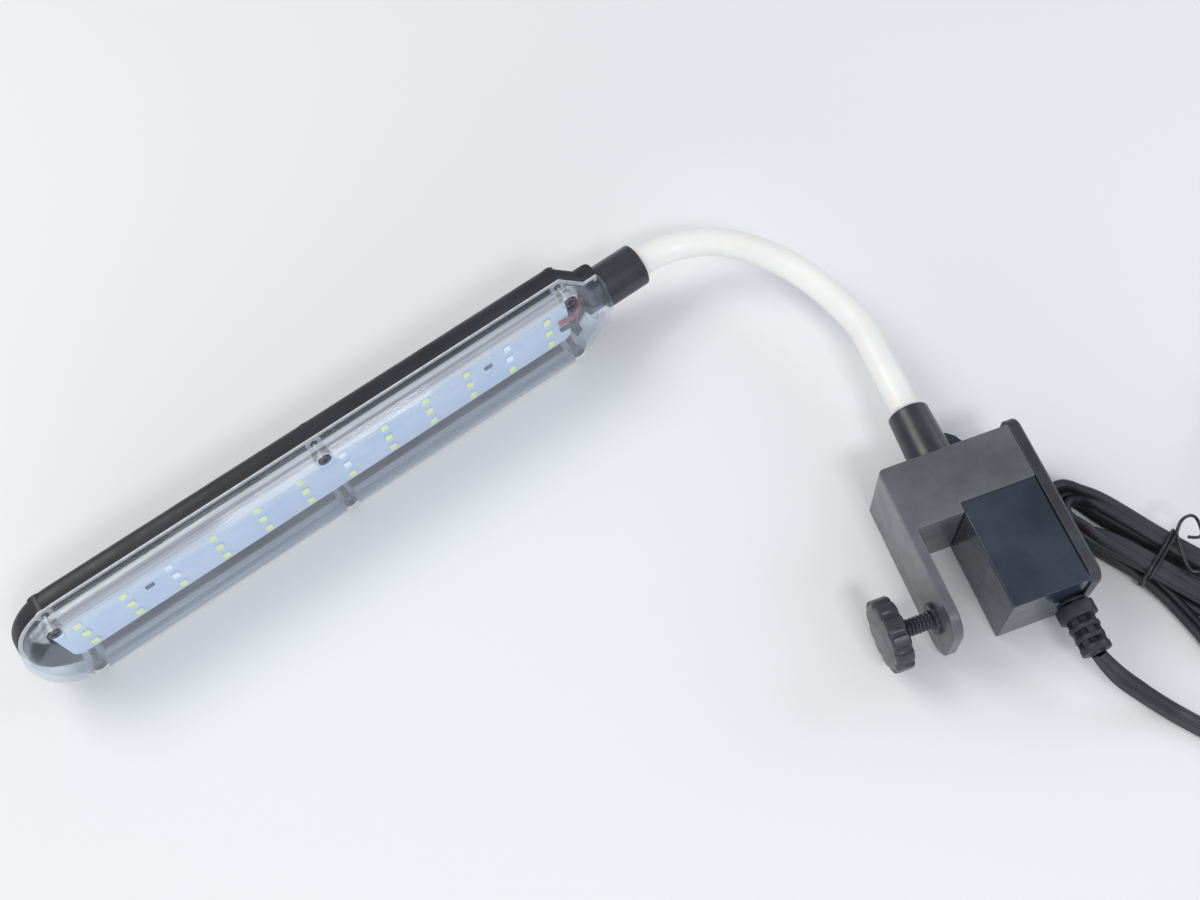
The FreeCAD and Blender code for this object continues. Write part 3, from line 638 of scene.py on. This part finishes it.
def hank_route():
    """Strands to and fro, each pass flat on the one below it, joined by bights on edge."""
    points = []
    for k, (across, z, stops) in enumerate(HANK_PASSES):
        for i, along in enumerate(stops):
            pinch = TIE_PINCH if abs(along - TIE_AT) < TIE_REACH else 1.0
            drift = 0.5 * math.sin(1.9 * k + 1.3 * i)
            points.append(in_hank(along, across * pinch + drift, z))
        if k == len(HANK_BIGHTS):
            break
        next_across, next_z, _ = HANK_PASSES[k + 1]
        outward = -1 if k % 2 == 0 else 1
        middle, radius = (across + next_across) / 2, abs(across - next_across) / 2
        centre = HANK_BIGHTS[k] - outward * radius
        towards = 1 if next_across > across else -1
        reach = radius / math.cos(math.radians(BIGHT_STEP / 2))
        for i in range(4):
            angle = math.radians(BIGHT_STEP * (i - 1.5))
            height = z + (next_z - z) * (i + 1) / 5
            points.append(in_hank(centre + outward * reach * math.cos(angle),
                                  middle + towards * reach * math.sin(angle),
                                  min(max(height, BIGHT_LOW), BIGHT_HIGH)))
    return points


def smooth_line(points, resolution=10):
    """Points along the NURBS curve that a list of points controls."""
    curve = bpy.data.curves.new("route", "CURVE")
    curve.dimensions = "3D"
    curve.resolution_u = resolution
    spline = curve.splines.new("NURBS")
    spline.points.add(len(points) - 1)
    for place, p in zip(spline.points, points):
        place.co = (*p, 1)
    spline.order_u = 3
    spline.use_endpoint_u = True
    holder = bpy.data.objects.new("route", curve)
    bpy.context.collection.objects.link(holder)
    mesh = bpy.data.meshes.new_from_object(holder)
    path = [v.co.copy() for v in mesh.vertices]
    bpy.data.objects.remove(holder)
    bpy.data.meshes.remove(mesh)
    return path


def lead_section():
    """Two round cores side by side with a groove between, as (across, through) pairs."""
    lobe, apart, web = CORD_THICK / 2, (CORD_WIDTH - CORD_THICK) / 2, CORD_THICK * 0.34
    right = []
    for a in (math.radians(d) for d in range(0, 181, 20)):
        w, h = apart + lobe * math.cos(a), lobe * math.sin(a)
        if w > 0.1 * MM:
            right.append((w, max(h, web) if w < apart else h))
    top = right + [(0.0, web * 0.9)] + [(-w, h) for w, h in reversed(right)]
    return top + [(w, -h) for w, h in reversed(top[1:-1])]


ON_EDGE_RADIUS = 13 * MM
EXIT_LENGTH, EXIT_TWIST = 22 * MM, math.radians(80)


def curvature_turn(path, along):
    """How far the flat lead has twisted on edge at each point: it bends about its thin side,
    and is fully on edge where it turns at the on-edge radius or tighter."""
    count, reach, window = len(path), 3, 12
    bend = []
    for k in range(count):
        a, b = max(k - reach, 0), min(k + reach, count - 1)
        length = sum((path[i + 1] - path[i]).length for i in range(a, b))
        flat_a, flat_b = along[a].copy(), along[b].copy()
        flat_a.z = flat_b.z = 0
        bend.append(flat_a.angle(flat_b, 0) / max(length, 1e-6) * ON_EDGE_RADIUS)
    smooth = []
    for k in range(count):
        near = bend[max(k - window, 0):k + window + 1]
        smooth.append(sum(near) / len(near))
    return [min(s, 1.0) ** 1.2 * math.pi / 2 for s in smooth]


def settled_path(path, twist):
    """The path with the lead's first part let down until it lies on the floor."""
    centres = []
    for k, point in enumerate(path):
        reach = CORD_THICK / 2 * abs(math.cos(twist[k])) + CORD_WIDTH / 2 * abs(math.sin(twist[k]))
        settled = 0.0
        if k < len(path) * 0.3:
            settled = min(max((8 * MM - point.z) / (4.5 * MM), 0.0), 1.0)
        centre = point - Z * max(0.0, CORD_LIES_AT - reach) * settled
        centre.z = max(centre.z, reach + 0.02 * MM)
        centres.append(centre)
    return centres


def build_cord():
    """The whole lead from the strain relief through the hank to the plug, one flat twin cord."""
    route = [at(*p) for p in LEAD] + hank_route() + [at(*p) for p in TAIL]
    path = smooth_line(route)
    along = tangents(path)
    twist = curvature_turn(path, along)
    travelled = 0
    for k in range(len(path)):
        if k:
            travelled += (path[k] - path[k - 1]).length
        twist[k] = max(twist[k], max(0.0, 1 - travelled / EXIT_LENGTH) * EXIT_TWIST)
    centres = settled_path(path, twist)
    section, rings = lead_section(), []
    for point, ahead, turn in zip(centres, along, twist):
        level = Z.cross(ahead).normalized()
        wide = level * math.cos(turn) + ahead.cross(level) * math.sin(turn)
        thin = ahead.cross(wide)
        rings.append([point + wide * w + thin * h for w, h in section])
    cord = mounted("mains_lead", mesh_of(skinned(rings), "mains_lead"), "cord_black", "clamp",
                   "cord_lead", "cord_tail", "cord_hank", smooth_below=60.0)
    length = sum((b - a).length for a, b in zip(centres, centres[1:]))
    return cord, centres, length


TIE_WIRE_R = 0.55 * MM
TIE_HALF, TIE_LOW, TIE_HIGH, TIE_CORNER = 9.6, 0.7, 14.2, 3.2
TIE_TURNS_AT = (41.2, 42.5)
TIE_LOOP = [(42.0, 8.5, 13.8), (42.5, 5.5, 16.0), (41.0, 11.0, 18.5), (44.0, 16.0, 16.5),
            (48.5, 15.0, 12.0), (50.0, 10.5, 14.0), (46.0, 8.6, 14.4)]
TIE_SPUR = [(42.0, 8.5, 13.9), (46.0, 3.0, 15.0), (51.0, -2.0, 14.6), (54.0, -1.0, 14.7),
            (60.0, 4.0, 14.6)]


def build_tie():
    """Thin wire tie twice round the hank, one end bent over in a loop and one lying on it."""
    corners = [(-TIE_HALF, TIE_LOW), (TIE_HALF, TIE_LOW), (TIE_HALF, TIE_HIGH),
               (-TIE_HALF, TIE_HIGH)]
    once_round = rounded([Vector((*c, 0)) for c in corners], TIE_CORNER, 4)
    lines = [[in_hank(along, p.x, p.y) for along in TIE_TURNS_AT for p in once_round]]
    lines += [smooth_line([in_hank(*p) for p in end], 8) for end in (TIE_LOOP, TIE_SPUR)]
    parts = [round_tube(line, TIE_WIRE_R, 8) for line in lines]
    mounted("wire_tie", mesh_of(merged(parts), "wire_tie"), "tie_black", "clamp", "twist_tie",
            smooth_below=60.0)


# ---------------------------------------------------------------- clamp

# In millimetres from the slot's corner.  The plan's low, left and right are those of a lamp that
# stands up; the depth runs across it, and upwards as the lamp lies.
CLAMP_DEPTH, BOX_DEPTH = 31.0, 30.2
SADDLE_LEFT, FLANGE_RIGHT, FLANGE_LOW = -21.0, -17.5, -36.0
BOX_LEFT, BOX_RIGHT, BOX_LOW = -1.0, 25.4, -34.2
SHELF_Y = 3.5
SADDLE_CORNER_R, FLANGE_TIP_R = 2.0, 9.0
SCREW_Y, SCREW_Z = -25.0, 15.4
SCREW_HOLE_R = 4.4
LUG_PLAN = [(8.6, 22.5), (14.5, 22.5), (14.5, SADDLE_TOP), (11.5, 29.5), (8.6, 32.0)]

# The strain relief's sleeve as (distance, radius), and its rings as (distance, thickness, radius).
RELIEF_X, RELIEF_Z = 21.4, 15.4
RELIEF_SLEEVE = [(-2.9, 3.4), (0.2, 3.4), (0.3, 3.3), (19.0, 2.75), (19.6, 2.4)]
RELIEF_RINGS = ((0.8, 1.2, 5.0), (2.6, 4.6, 6.3), (9.4, 1.7, 5.1), (13.0, 1.7, 4.9),
                (16.4, 2.4, 5.0))
WEB_INNER_R, WEB_OUTER_R, WEB_HALF, WEB_BITE = 2.4, 4.6, 1.1, 0.3


def relief_ring(start, thick, radius):
    """Profile of one ring, with its two rims rounded."""
    soft = min(0.35, thick / 3)
    near = [(start, radius - soft), (start + soft * 0.3, radius - soft * 0.3),
            (start + soft, radius)]
    end = start + thick
    return near + [(end - soft, radius), (end - soft * 0.3, radius - soft * 0.3),
                   (end, radius - soft)]


def relief():
    """Ringed rubber sleeve; short webs join the rings, staggered round it."""
    mouth = at(RELIEF_X, BOX_LOW, RELIEF_Z)
    parts = [turned(RELIEF_SLEEVE, mouth, -Y, X)]
    parts += [turned(relief_ring(*ring), mouth, -Y, X) for ring in RELIEF_RINGS]
    web = ((WEB_INNER_R, -WEB_HALF), (WEB_OUTER_R, -WEB_HALF), (WEB_OUTER_R, WEB_HALF),
           (WEB_INNER_R, WEB_HALF))
    for k, (ring, following) in enumerate(zip(RELIEF_RINGS, RELIEF_RINGS[1:])):
        low, high = ring[0] + ring[1] - WEB_BITE, following[0] + WEB_BITE
        for turn in range(4):
            angle = math.radians(90 * turn + 45 * (k % 2))
            out = Vector((math.cos(angle), 0, math.sin(angle)))
            side = out.cross(Y)
            parts.append(block(*([mouth + (-Y * y + out * r + side * w) * MM for r, w in web]
                                 for y in (low, high))))
    mounted("relief_ribbed", mesh_of(merged(parts), "relief_ribbed"), "cord_black", "clamp",
            "strain_relief")


THREAD_START, THREAD_END, THREAD_PITCH = -33.3, -19.1, 1.25
THREAD_ROOT_R, THREAD_DEPTH = 2.55, 0.43


def screw_thread():
    """Thumbscrew shaft with a fine thread that runs out at both ends."""
    steps, per_pitch = 40, 8
    rows = int((THREAD_END - THREAD_START) / THREAD_PITCH * per_pitch)
    rings = []
    for row in range(rows + 1):
        x = THREAD_START + (THREAD_END - THREAD_START) * row / rows
        taper = max(min(1.0, (THREAD_END - x) / 1.0, (x - THREAD_START) / 0.6), 0.0)
        ring = []
        for k in range(steps):
            turn = k / steps
            phase = ((x - THREAD_START) / THREAD_PITCH + turn) % 1.0
            crest = 1 - abs(2 * phase - 1)
            r = THREAD_ROOT_R + THREAD_DEPTH * min(1.0, 1.5 * crest) * taper
            angle = 2 * math.pi * turn
            ring.append(at(x, SCREW_Y + r * math.cos(angle), SCREW_Z + r * math.sin(angle)))
        rings.append(ring)
    mounted("screw_thread", mesh_of(skinned(rings), "screw_thread"), "black_plastic", "thumbscrew",
            "screw_shaft", smooth_below=30.0)


def clamp_shell():
    """Saddle and flange in one, the glossy driver box, and the lug beside the ferrule."""
    plan = ((SADDLE_LEFT, FLANGE_LOW), (FLANGE_RIGHT, FLANGE_LOW), (FLANGE_RIGHT, 0),
            (BOX_LEFT, 0), (BOX_LEFT, SHELF_Y), (BOX_RIGHT, SHELF_Y), (BOX_RIGHT, SADDLE_TOP),
            (SADDLE_LEFT, SADDLE_TOP))
    outline = rounded([Vector((*p, 0)) for p in plan], [0] * 7 + [SADDLE_CORNER_R])
    saddle = upright_bar(outline, 0, CLAMP_DEPTH)
    tip = [e for e in saddle.edges
           if all(abs(v.co.y - at(0, FLANGE_LOW, 0).y) < 0.01 * MM for v in e.verts)
           and abs(e.verts[0].co.z - e.verts[1].co.z) < 0.01 * MM]
    bmesh.ops.bevel(saddle, geom=tip, offset=FLANGE_TIP_R * MM, offset_type="OFFSET", segments=14,
                    profile=0.5, affect="EDGES", clamp_overlap=False)
    piece = mounted("clamp_saddle", mesh_of(saddle, "clamp_saddle"), "gloss_black", "clamp",
                    "clamp_body", finish="saddle_black")
    cut_away(piece, turned([(-3, SCREW_HOLE_R), (6.5, SCREW_HOLE_R)],
                           at(SADDLE_LEFT, SCREW_Y, SCREW_Z), X, Y))
    eased(piece, 0.5 * MM, 3)
    top = SHELF_Y + 1.0
    box = upright_bar([(BOX_LEFT, BOX_LOW), (BOX_RIGHT, BOX_LOW), (BOX_RIGHT, top),
                       (BOX_LEFT, top)], 0, BOX_DEPTH)
    eased(mounted("driver_box", mesh_of(box, "driver_box"), "gloss_black", "clamp"), 0.5 * MM, 3)
    lug = upright_bar(LUG_PLAN, 17, 21)
    eased(mounted("lug", mesh_of(lug, "lug"), "gloss_black", "clamp"), 0.3 * MM)


KNOB_LEFT, KNOB_THICK, KNOB_R = -39.7, 6.4, 12.3
HOLLOW_R, HOLLOW_AT, HOLLOW_STEP = 1.9, 13.2, 30


def knob_dent(angle):
    """How deep the rim's hollows go at an angle."""
    off = math.radians((math.degrees(angle) % HOLLOW_STEP) - HOLLOW_STEP / 2)
    beside = HOLLOW_AT * math.sin(off)
    if abs(beside) >= HOLLOW_R:
        return 0.0
    near = HOLLOW_AT * math.cos(off) - math.sqrt(HOLLOW_R ** 2 - beside ** 2)
    return max(KNOB_R - near, 0.0)


def knob():
    """Lobed knob: a thick disc with twelve round hollows in its rim."""
    rim = ((0, 1.2), (0.1, 0.75), (0.35, 0.3), (0.8, 0.0))
    profile = [(d, KNOB_R - cut) for d, cut in rim]
    profile += [(KNOB_THICK - d, KNOB_R - cut) for d, cut in rim[::-1]]
    bm = turned(profile, at(KNOB_LEFT, SCREW_Y, SCREW_Z), X, Y, 240, knob_dent)
    mounted("knob_lobed", mesh_of(bm, "knob_lobed"), "black_plastic", "thumbscrew", "thumb_knob",
            smooth_below=32.0)


def build_clamp():
    clamp_shell()
    knob()
    softened("clamp_lid", "black_plastic", "clamp", 0.35 * MM)
    softened("lid_screws", "screw_steel", "clamp", 0.15 * MM)
    softened("clamp_ferrule", "black_plastic", "clamp", 0.3 * MM)
    softened("switch_frame", "black_plastic", "clamp", 0.2 * MM)
    softened("switch_rocker", "rocker_red", "rocker", 0.35 * MM)
    softened("screw_bush", "black_plastic", "clamp", 0.2 * MM)
    softened("screw_tip", "tip_rubber", "screw_travel", 0.25 * MM)
    softened("driver_board", "board_green", "clamp", 0.1 * MM)
    softened("driver_transformer", "transformer_tape", "clamp", 0.3 * MM)
    softened("driver_capacitor", "capacitor_sleeve", "clamp", 0.4 * MM)
    screw_thread()
    relief()


# ---------------------------------------------------------------- gooseneck

SLEEVE_R = 5.2 * MM
SLEEVE_SIDES = 32
SLEEVE_FOOT_Y, SLEEVE_Z = 24.3, 21
SLEEVE_IN_HEAD = 12 * MM


def arc_between(start, corner, end, steps=18):
    """Points from start to end of the curve that a corner pulls."""
    return [start.lerp(corner, t / steps).lerp(corner.lerp(end, t / steps), t / steps)
            for t in range(steps + 1)]


def sleeve_mesh(name, path, first_along, last_along):
    """Open round tube whose rings stay upright, with its end rings square to given directions."""
    along = [first_along] + tangents(path)[1:-1] + [last_along]
    rings = []
    for point, ahead in zip(path, along):
        side = ahead.cross(Z).normalized()
        rings.append([point + (side * math.cos(a) + Z * math.sin(a)) * SLEEVE_R
                      for a in angles_of(SLEEVE_SIDES)])
    return mesh_of(skinned(rings, caps=False), name)


def build_neck():
    """The sleeve in seven lengths, each bending over one joint and meeting the next mid-link."""
    names = ["gooseneck_sway_1", "gooseneck_sway_2"] + [f"gooseneck_bend_{k}" for k in range(1, 6)]
    joints = [joint_at(name) for name in names]
    bodies = ["clamp"] + [f"neck_{k}" for k in range(1, 7)] + ["head"]
    middles = [a.lerp(b, 0.5) for a, b in zip(joints, joints[1:])]
    first = at(NECK_X, SLEEVE_FOOT_Y, SLEEVE_Z)
    last = neck_end - head_turn @ (X * SLEEVE_IN_HEAD)
    ends = [first] + middles + [last]
    for k, joint in enumerate(joints):
        start, end = ends[k], ends[k + 1]
        bend_from, bend_to = start, end
        before, after = [], []
        first_along, last_along = (joint - start).normalized(), (end - joint).normalized()
        if k == 0:
            bend_from = joint * 2 - end
            before = [start.lerp(bend_from, t / 12) for t in range(12)]
            first_along = (before[1] - before[0]).normalized()
        elif k == len(joints) - 1:
            bend_to = neck_end
            after = [bend_to.lerp(end, t / 8) for t in range(1, 9)]
            last_along = (after[-1] - after[-2]).normalized()
        path = before + arc_between(bend_from, joint, bend_to) + after
        mesh = sleeve_mesh(f"sleeve_{k + 1}", path, first_along, last_along)
        piece = shown(f"sleeve_{k + 1}", mesh, "white_sleeve", 60.0)
        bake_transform(piece, bodies[k], bodies[k + 1], bend_from, bend_to)
        nodes = [f"neck_sleeve_{k + 1}", f"neck_core_{k + 1}"]
        if k == len(joints) - 1:
            nodes += [f"neck_sleeve_{k + 2}", f"neck_core_{k + 2}"]
        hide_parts(*nodes)


# ---------------------------------------------------------------- head

CHIP_COLUMNS = 12
CHIP_PITCH = 17.0
CHIP_ROW = 7.45
WHITE_COLUMNS = (2, 6, 10)
# Length along the board, width, lower and upper face above the board, and the corners' radius.
PACKAGE = (2.8, 3.5, -0.02, 0.68, 0.3)
WINDOW = (2.62, 3.32, 0.3, 0.75, 0.4)


def slab_on_board(x, z, length, width, low, high, corner):
    """Rounded flat block standing out from the board's face, in the head's frame."""
    outline = rounded([Vector((sx * length / 2, sz * width / 2, 0))
                       for sx, sz in ((-1, -1), (1, -1), (1, 1), (-1, 1))], corner, 4)
    return block(*([on_head(x + p.x, -y, z + p.y) for p in outline] for y in (low, high)))


def chip_places(white):
    """Each chip of one colour; a white column has yellow in its lowest row."""
    for column in range(CHIP_COLUMNS):
        for row in (-1, 0, 1):
            if (column in WHITE_COLUMNS and row >= 0) == white:
                yield column * CHIP_PITCH, row * CHIP_ROW


def build_chips():
    """White ceramic packages, each with a phosphor window let into its face."""
    for white, node, slot in ((False, "led_chips_yellow", "led_yellow"),
                              (True, "led_chips_white", "led_white")):
        packages, windows = [], []
        for x, z in chip_places(white):
            package = slab_on_board(x, z, *PACKAGE)
            soften(package, 0.08 * MM)
            packages.append(package)
            window = slab_on_board(x, z, *WINDOW)
            soften(window, 0.05 * MM)
            windows.append(window)
        mounted(node + "_windows", mesh_of(merged(windows), node), slot, "head", node)
        mounted(node + "_packages", mesh_of(merged(packages), node), "board_white", "head")


# In the head's flat frame: half its width and its collar's, and where its sides end and its
# collar starts and ends.  Housing and cover each stop short of the seam between them.
HEAD_HALF, NECK_HALF = 21.0, 10.0
SIDE_END, NECK_START, COLLAR_END = 197.0, 206.5, 212.0
SEAM_Y, SEAM_GAP = 4.0, 0.3
BACK_Y, BACK_R = 12.0, 4.0
WALL = 1.6
LIP_INSET, LIP_THICK, LIP_TOP = 1.95, 1.0, 0.7
COLLAR_FROM, COLLAR_R, BORE_R = 205.5, 9.2, 6.6
STUD_ALONG, STUD_OUT = (-4.8, 96.0, 195.6), 17.67
POST_R, POST_ROOM_R, POST_FOOT_Y = 3.0, 3.7, 10.6
BOSS_R, BOSS_Y, SEAT_R, SEAT_Y, SCREW_BORE_R = 3.3, -4.2, 2.8, -3.0, 1.2
RAIL_FROM, RAIL_TO, RAIL_TOP, RAIL_WIDE = -6, 194, 1.2, 1.5
RIB_FROM, RIB_WIDE, RIB_STEP, RIB_HIGH = 206.4, 0.8, 1.9, 0.3
FAR_OUT = 24.0


def head_ring(inset, y):
    """The head's outline at a depth y, drawn in by an inset, as points in the lamp's frame."""
    half, neck, back = HEAD_HALF - inset, NECK_HALF - inset, inset * 0.4
    points = [(-half * math.cos(a), half * math.sin(a))
              for a in (math.radians(d) for d in range(-90, 91, 3))]
    points += [(SIDE_END - back, half), (NECK_START - back, neck), (COLLAR_END - inset, neck),
               (COLLAR_END - inset, -neck), (NECK_START - back, -neck), (SIDE_END - back, -half)]
    return [on_head(x, y, z) for x, z in points]


def shell_of(rings):
    """Closed shell through (inset, depth) rings, capped at its first and last."""
    return skinned([head_ring(*ring) for ring in rings])


def neck_bar(radius, x0, length):
    """Round bar on the neck's axis."""
    return turned([(0, radius), (length, radius)], on_head(x0, NECK_AXIS, 0),
                  head_turn @ X, head_turn @ Y, 72)


def half_round(radius, x0, x1, y0, y1):
    """Part of a round bar on the neck's axis that lies between two depths."""
    bm = neck_bar(radius, x0, x1 - x0)
    for depth, keep_back in ((y0, True), (y1, False)):
        cut = bmesh.ops.bisect_plane(bm, geom=bm.verts[:] + bm.edges[:] + bm.faces[:],
                                     plane_co=on_head(0, depth, 0), plane_no=head_turn @ Y,
                                     clear_inner=keep_back, clear_outer=not keep_back)
        rim = [e for e in cut["geom_cut"] if isinstance(e, bmesh.types.BMEdge)]
        if rim:
            bmesh.ops.contextual_create(bm, geom=rim)
    return bm


def stations():
    """Where the six cover screws go, along and across."""
    return [(x, side * STUD_OUT) for x in STUD_ALONG for side in (1, -1)]


def box_on_head(x0, x1, y0, y1, z0, z1):
    """Square block in the head's frame."""
    corners = ((x0, y0), (x1, y0), (x1, y1), (x0, y1))
    return block(*([on_head(x, y, z) for x, y in corners] for z in (z0, z1)))


def stud(radius, x, z, y0, y1, steps=40):
    """Round stud through the head's depth."""
    return turned([(0, radius), (y1 - y0, radius)], on_head(x, y0, z), head_turn @ Y, Z, steps)


def housing():
    """Back shell with its lip, rounded at the back, and its posts and rails."""
    mouth = SEAM_Y + SEAM_GAP
    outside = [(BACK_R, BACK_Y)]
    outside += [(BACK_R - BACK_R * math.sin(a), BACK_Y - BACK_R + BACK_R * math.cos(a))
                for a in (math.radians(d) for d in range(10, 91, 10))]
    outside += [(0.0, mouth + 0.25), (0.25, mouth)]
    inside = [(WALL, mouth), (WALL, 10.0), (2.0, 10.4)]
    mounted("housing_shell", mesh_of(shell_of(outside + inside), "housing_shell"),
            "black_plastic", "head", "head_housing", finish="housing_black", smooth_below=50.0)
    far = LIP_INSET + LIP_THICK
    edge = [(LIP_INSET, mouth + 0.9), (LIP_INSET, 0.9), (LIP_INSET + 0.2, LIP_TOP),
            (far - 0.2, LIP_TOP), (far, 0.9), (far, mouth + 0.9)]
    lip_mesh = mesh_of(skinned([head_ring(*ring) for ring in edge], closed=True), "housing_lip")
    lip = mounted("housing_lip", lip_mesh, "black_plastic", "head", finish="housing_black")
    cut_away(lip, box_on_head(SIDE_END + 4, COLLAR_END + 4, 0.0, mouth + 2, -20, 20))
    for x, z in stations():
        cut_away(lip, stud(POST_ROOM_R, x, z, 0.0, mouth + 2))
    parts = [stud(POST_R, x, z, mouth, POST_FOOT_Y) for x, z in stations()]
    parts.append(half_round(COLLAR_R, COLLAR_FROM, COLLAR_END, mouth, FAR_OUT))
    for k in range(3):
        rib = RIB_FROM + RIB_STEP * k
        parts.append(half_round(COLLAR_R + RIB_HIGH, rib, rib + RIB_WIDE, mouth, FAR_OUT))
    parts += [box_on_head(RAIL_FROM, RAIL_TO, RAIL_TOP, POST_FOOT_Y, z, z + RAIL_WIDE)
              for z in (-8.5, 7.0)]
    mounted("housing_inside", mesh_of(merged(parts), "housing_inside"), "black_plastic", "head",
            finish="housing_black")


def cover():
    """Clear front shell: walls, sloping shoulders and a flat face, with sunk screw seats."""
    mouth = SEAM_Y - SEAM_GAP
    outside = [(0.2, mouth), (0.0, mouth - 0.25), (0.0, -1.3), (0.08, -1.7), (0.27, -2.25),
               (2.25, -5.95), (2.5, -6.35), (2.75, -6.54), (3.05, -6.6)]
    inside = [(4.2, -5.0), (WALL, -1.5), (WALL, mouth)]
    rings = outside[::-1] + inside[::-1]
    piece = mounted("clear_shell", mesh_of(shell_of(rings), "clear_shell"), "clear_cover", "head",
                    "lens_cover", smooth_below=50.0)
    for x, z in stations():
        cut_away(piece, stud(BOSS_R, x, z, BOSS_Y, mouth), "UNION")
    cut_away(piece, half_round(COLLAR_R, COLLAR_FROM, COLLAR_END, -FAR_OUT, mouth), "UNION")
    for x, z in stations():
        cut_away(piece, stud(SEAT_R, x, z, -7.6, SEAT_Y))
        cut_away(piece, stud(SCREW_BORE_R, x, z, -7.6, SEAM_Y, 24))
    cut_away(piece, neck_bar(BORE_R, COLLAR_FROM - 1.0, 20))
    piece.data.shade_smooth()
    piece.data.set_sharp_from_angle(angle=math.radians(35))


def build_head():
    housing()
    cover()
    softened("head_gasket", "gasket_rubber", "head", 0.08 * MM)
    softened("cover_screws", "screw_steel", "head", 0.15 * MM)
    softened("led_board", "board_white", "head", 0.12 * MM)
    softened("board_resistors", "resistor_black", "head", 0.08 * MM)
    softened("head_ferrule", "black_plastic", "head", 0.3 * MM)
    softened("wire_positive", "wire_red", "head", 0.05 * MM, 1, 60.0)
    softened("wire_negative", "wire_black", "head", 0.05 * MM, 1, 60.0)
    build_chips()


# ---------------------------------------------------------------- the lamp

add_camera()
add_studio()
add_floor()
cord, cord_path, cord_length = build_cord()
build_tie()
softened("plug_body", "cord_black", "clamp", 0.4 * MM)
softened("plug_pins", "pin_nickel", "clamp", 0.3 * MM)
build_clamp()
build_neck()
build_head()

print("cord length", round(cord_length, 4))
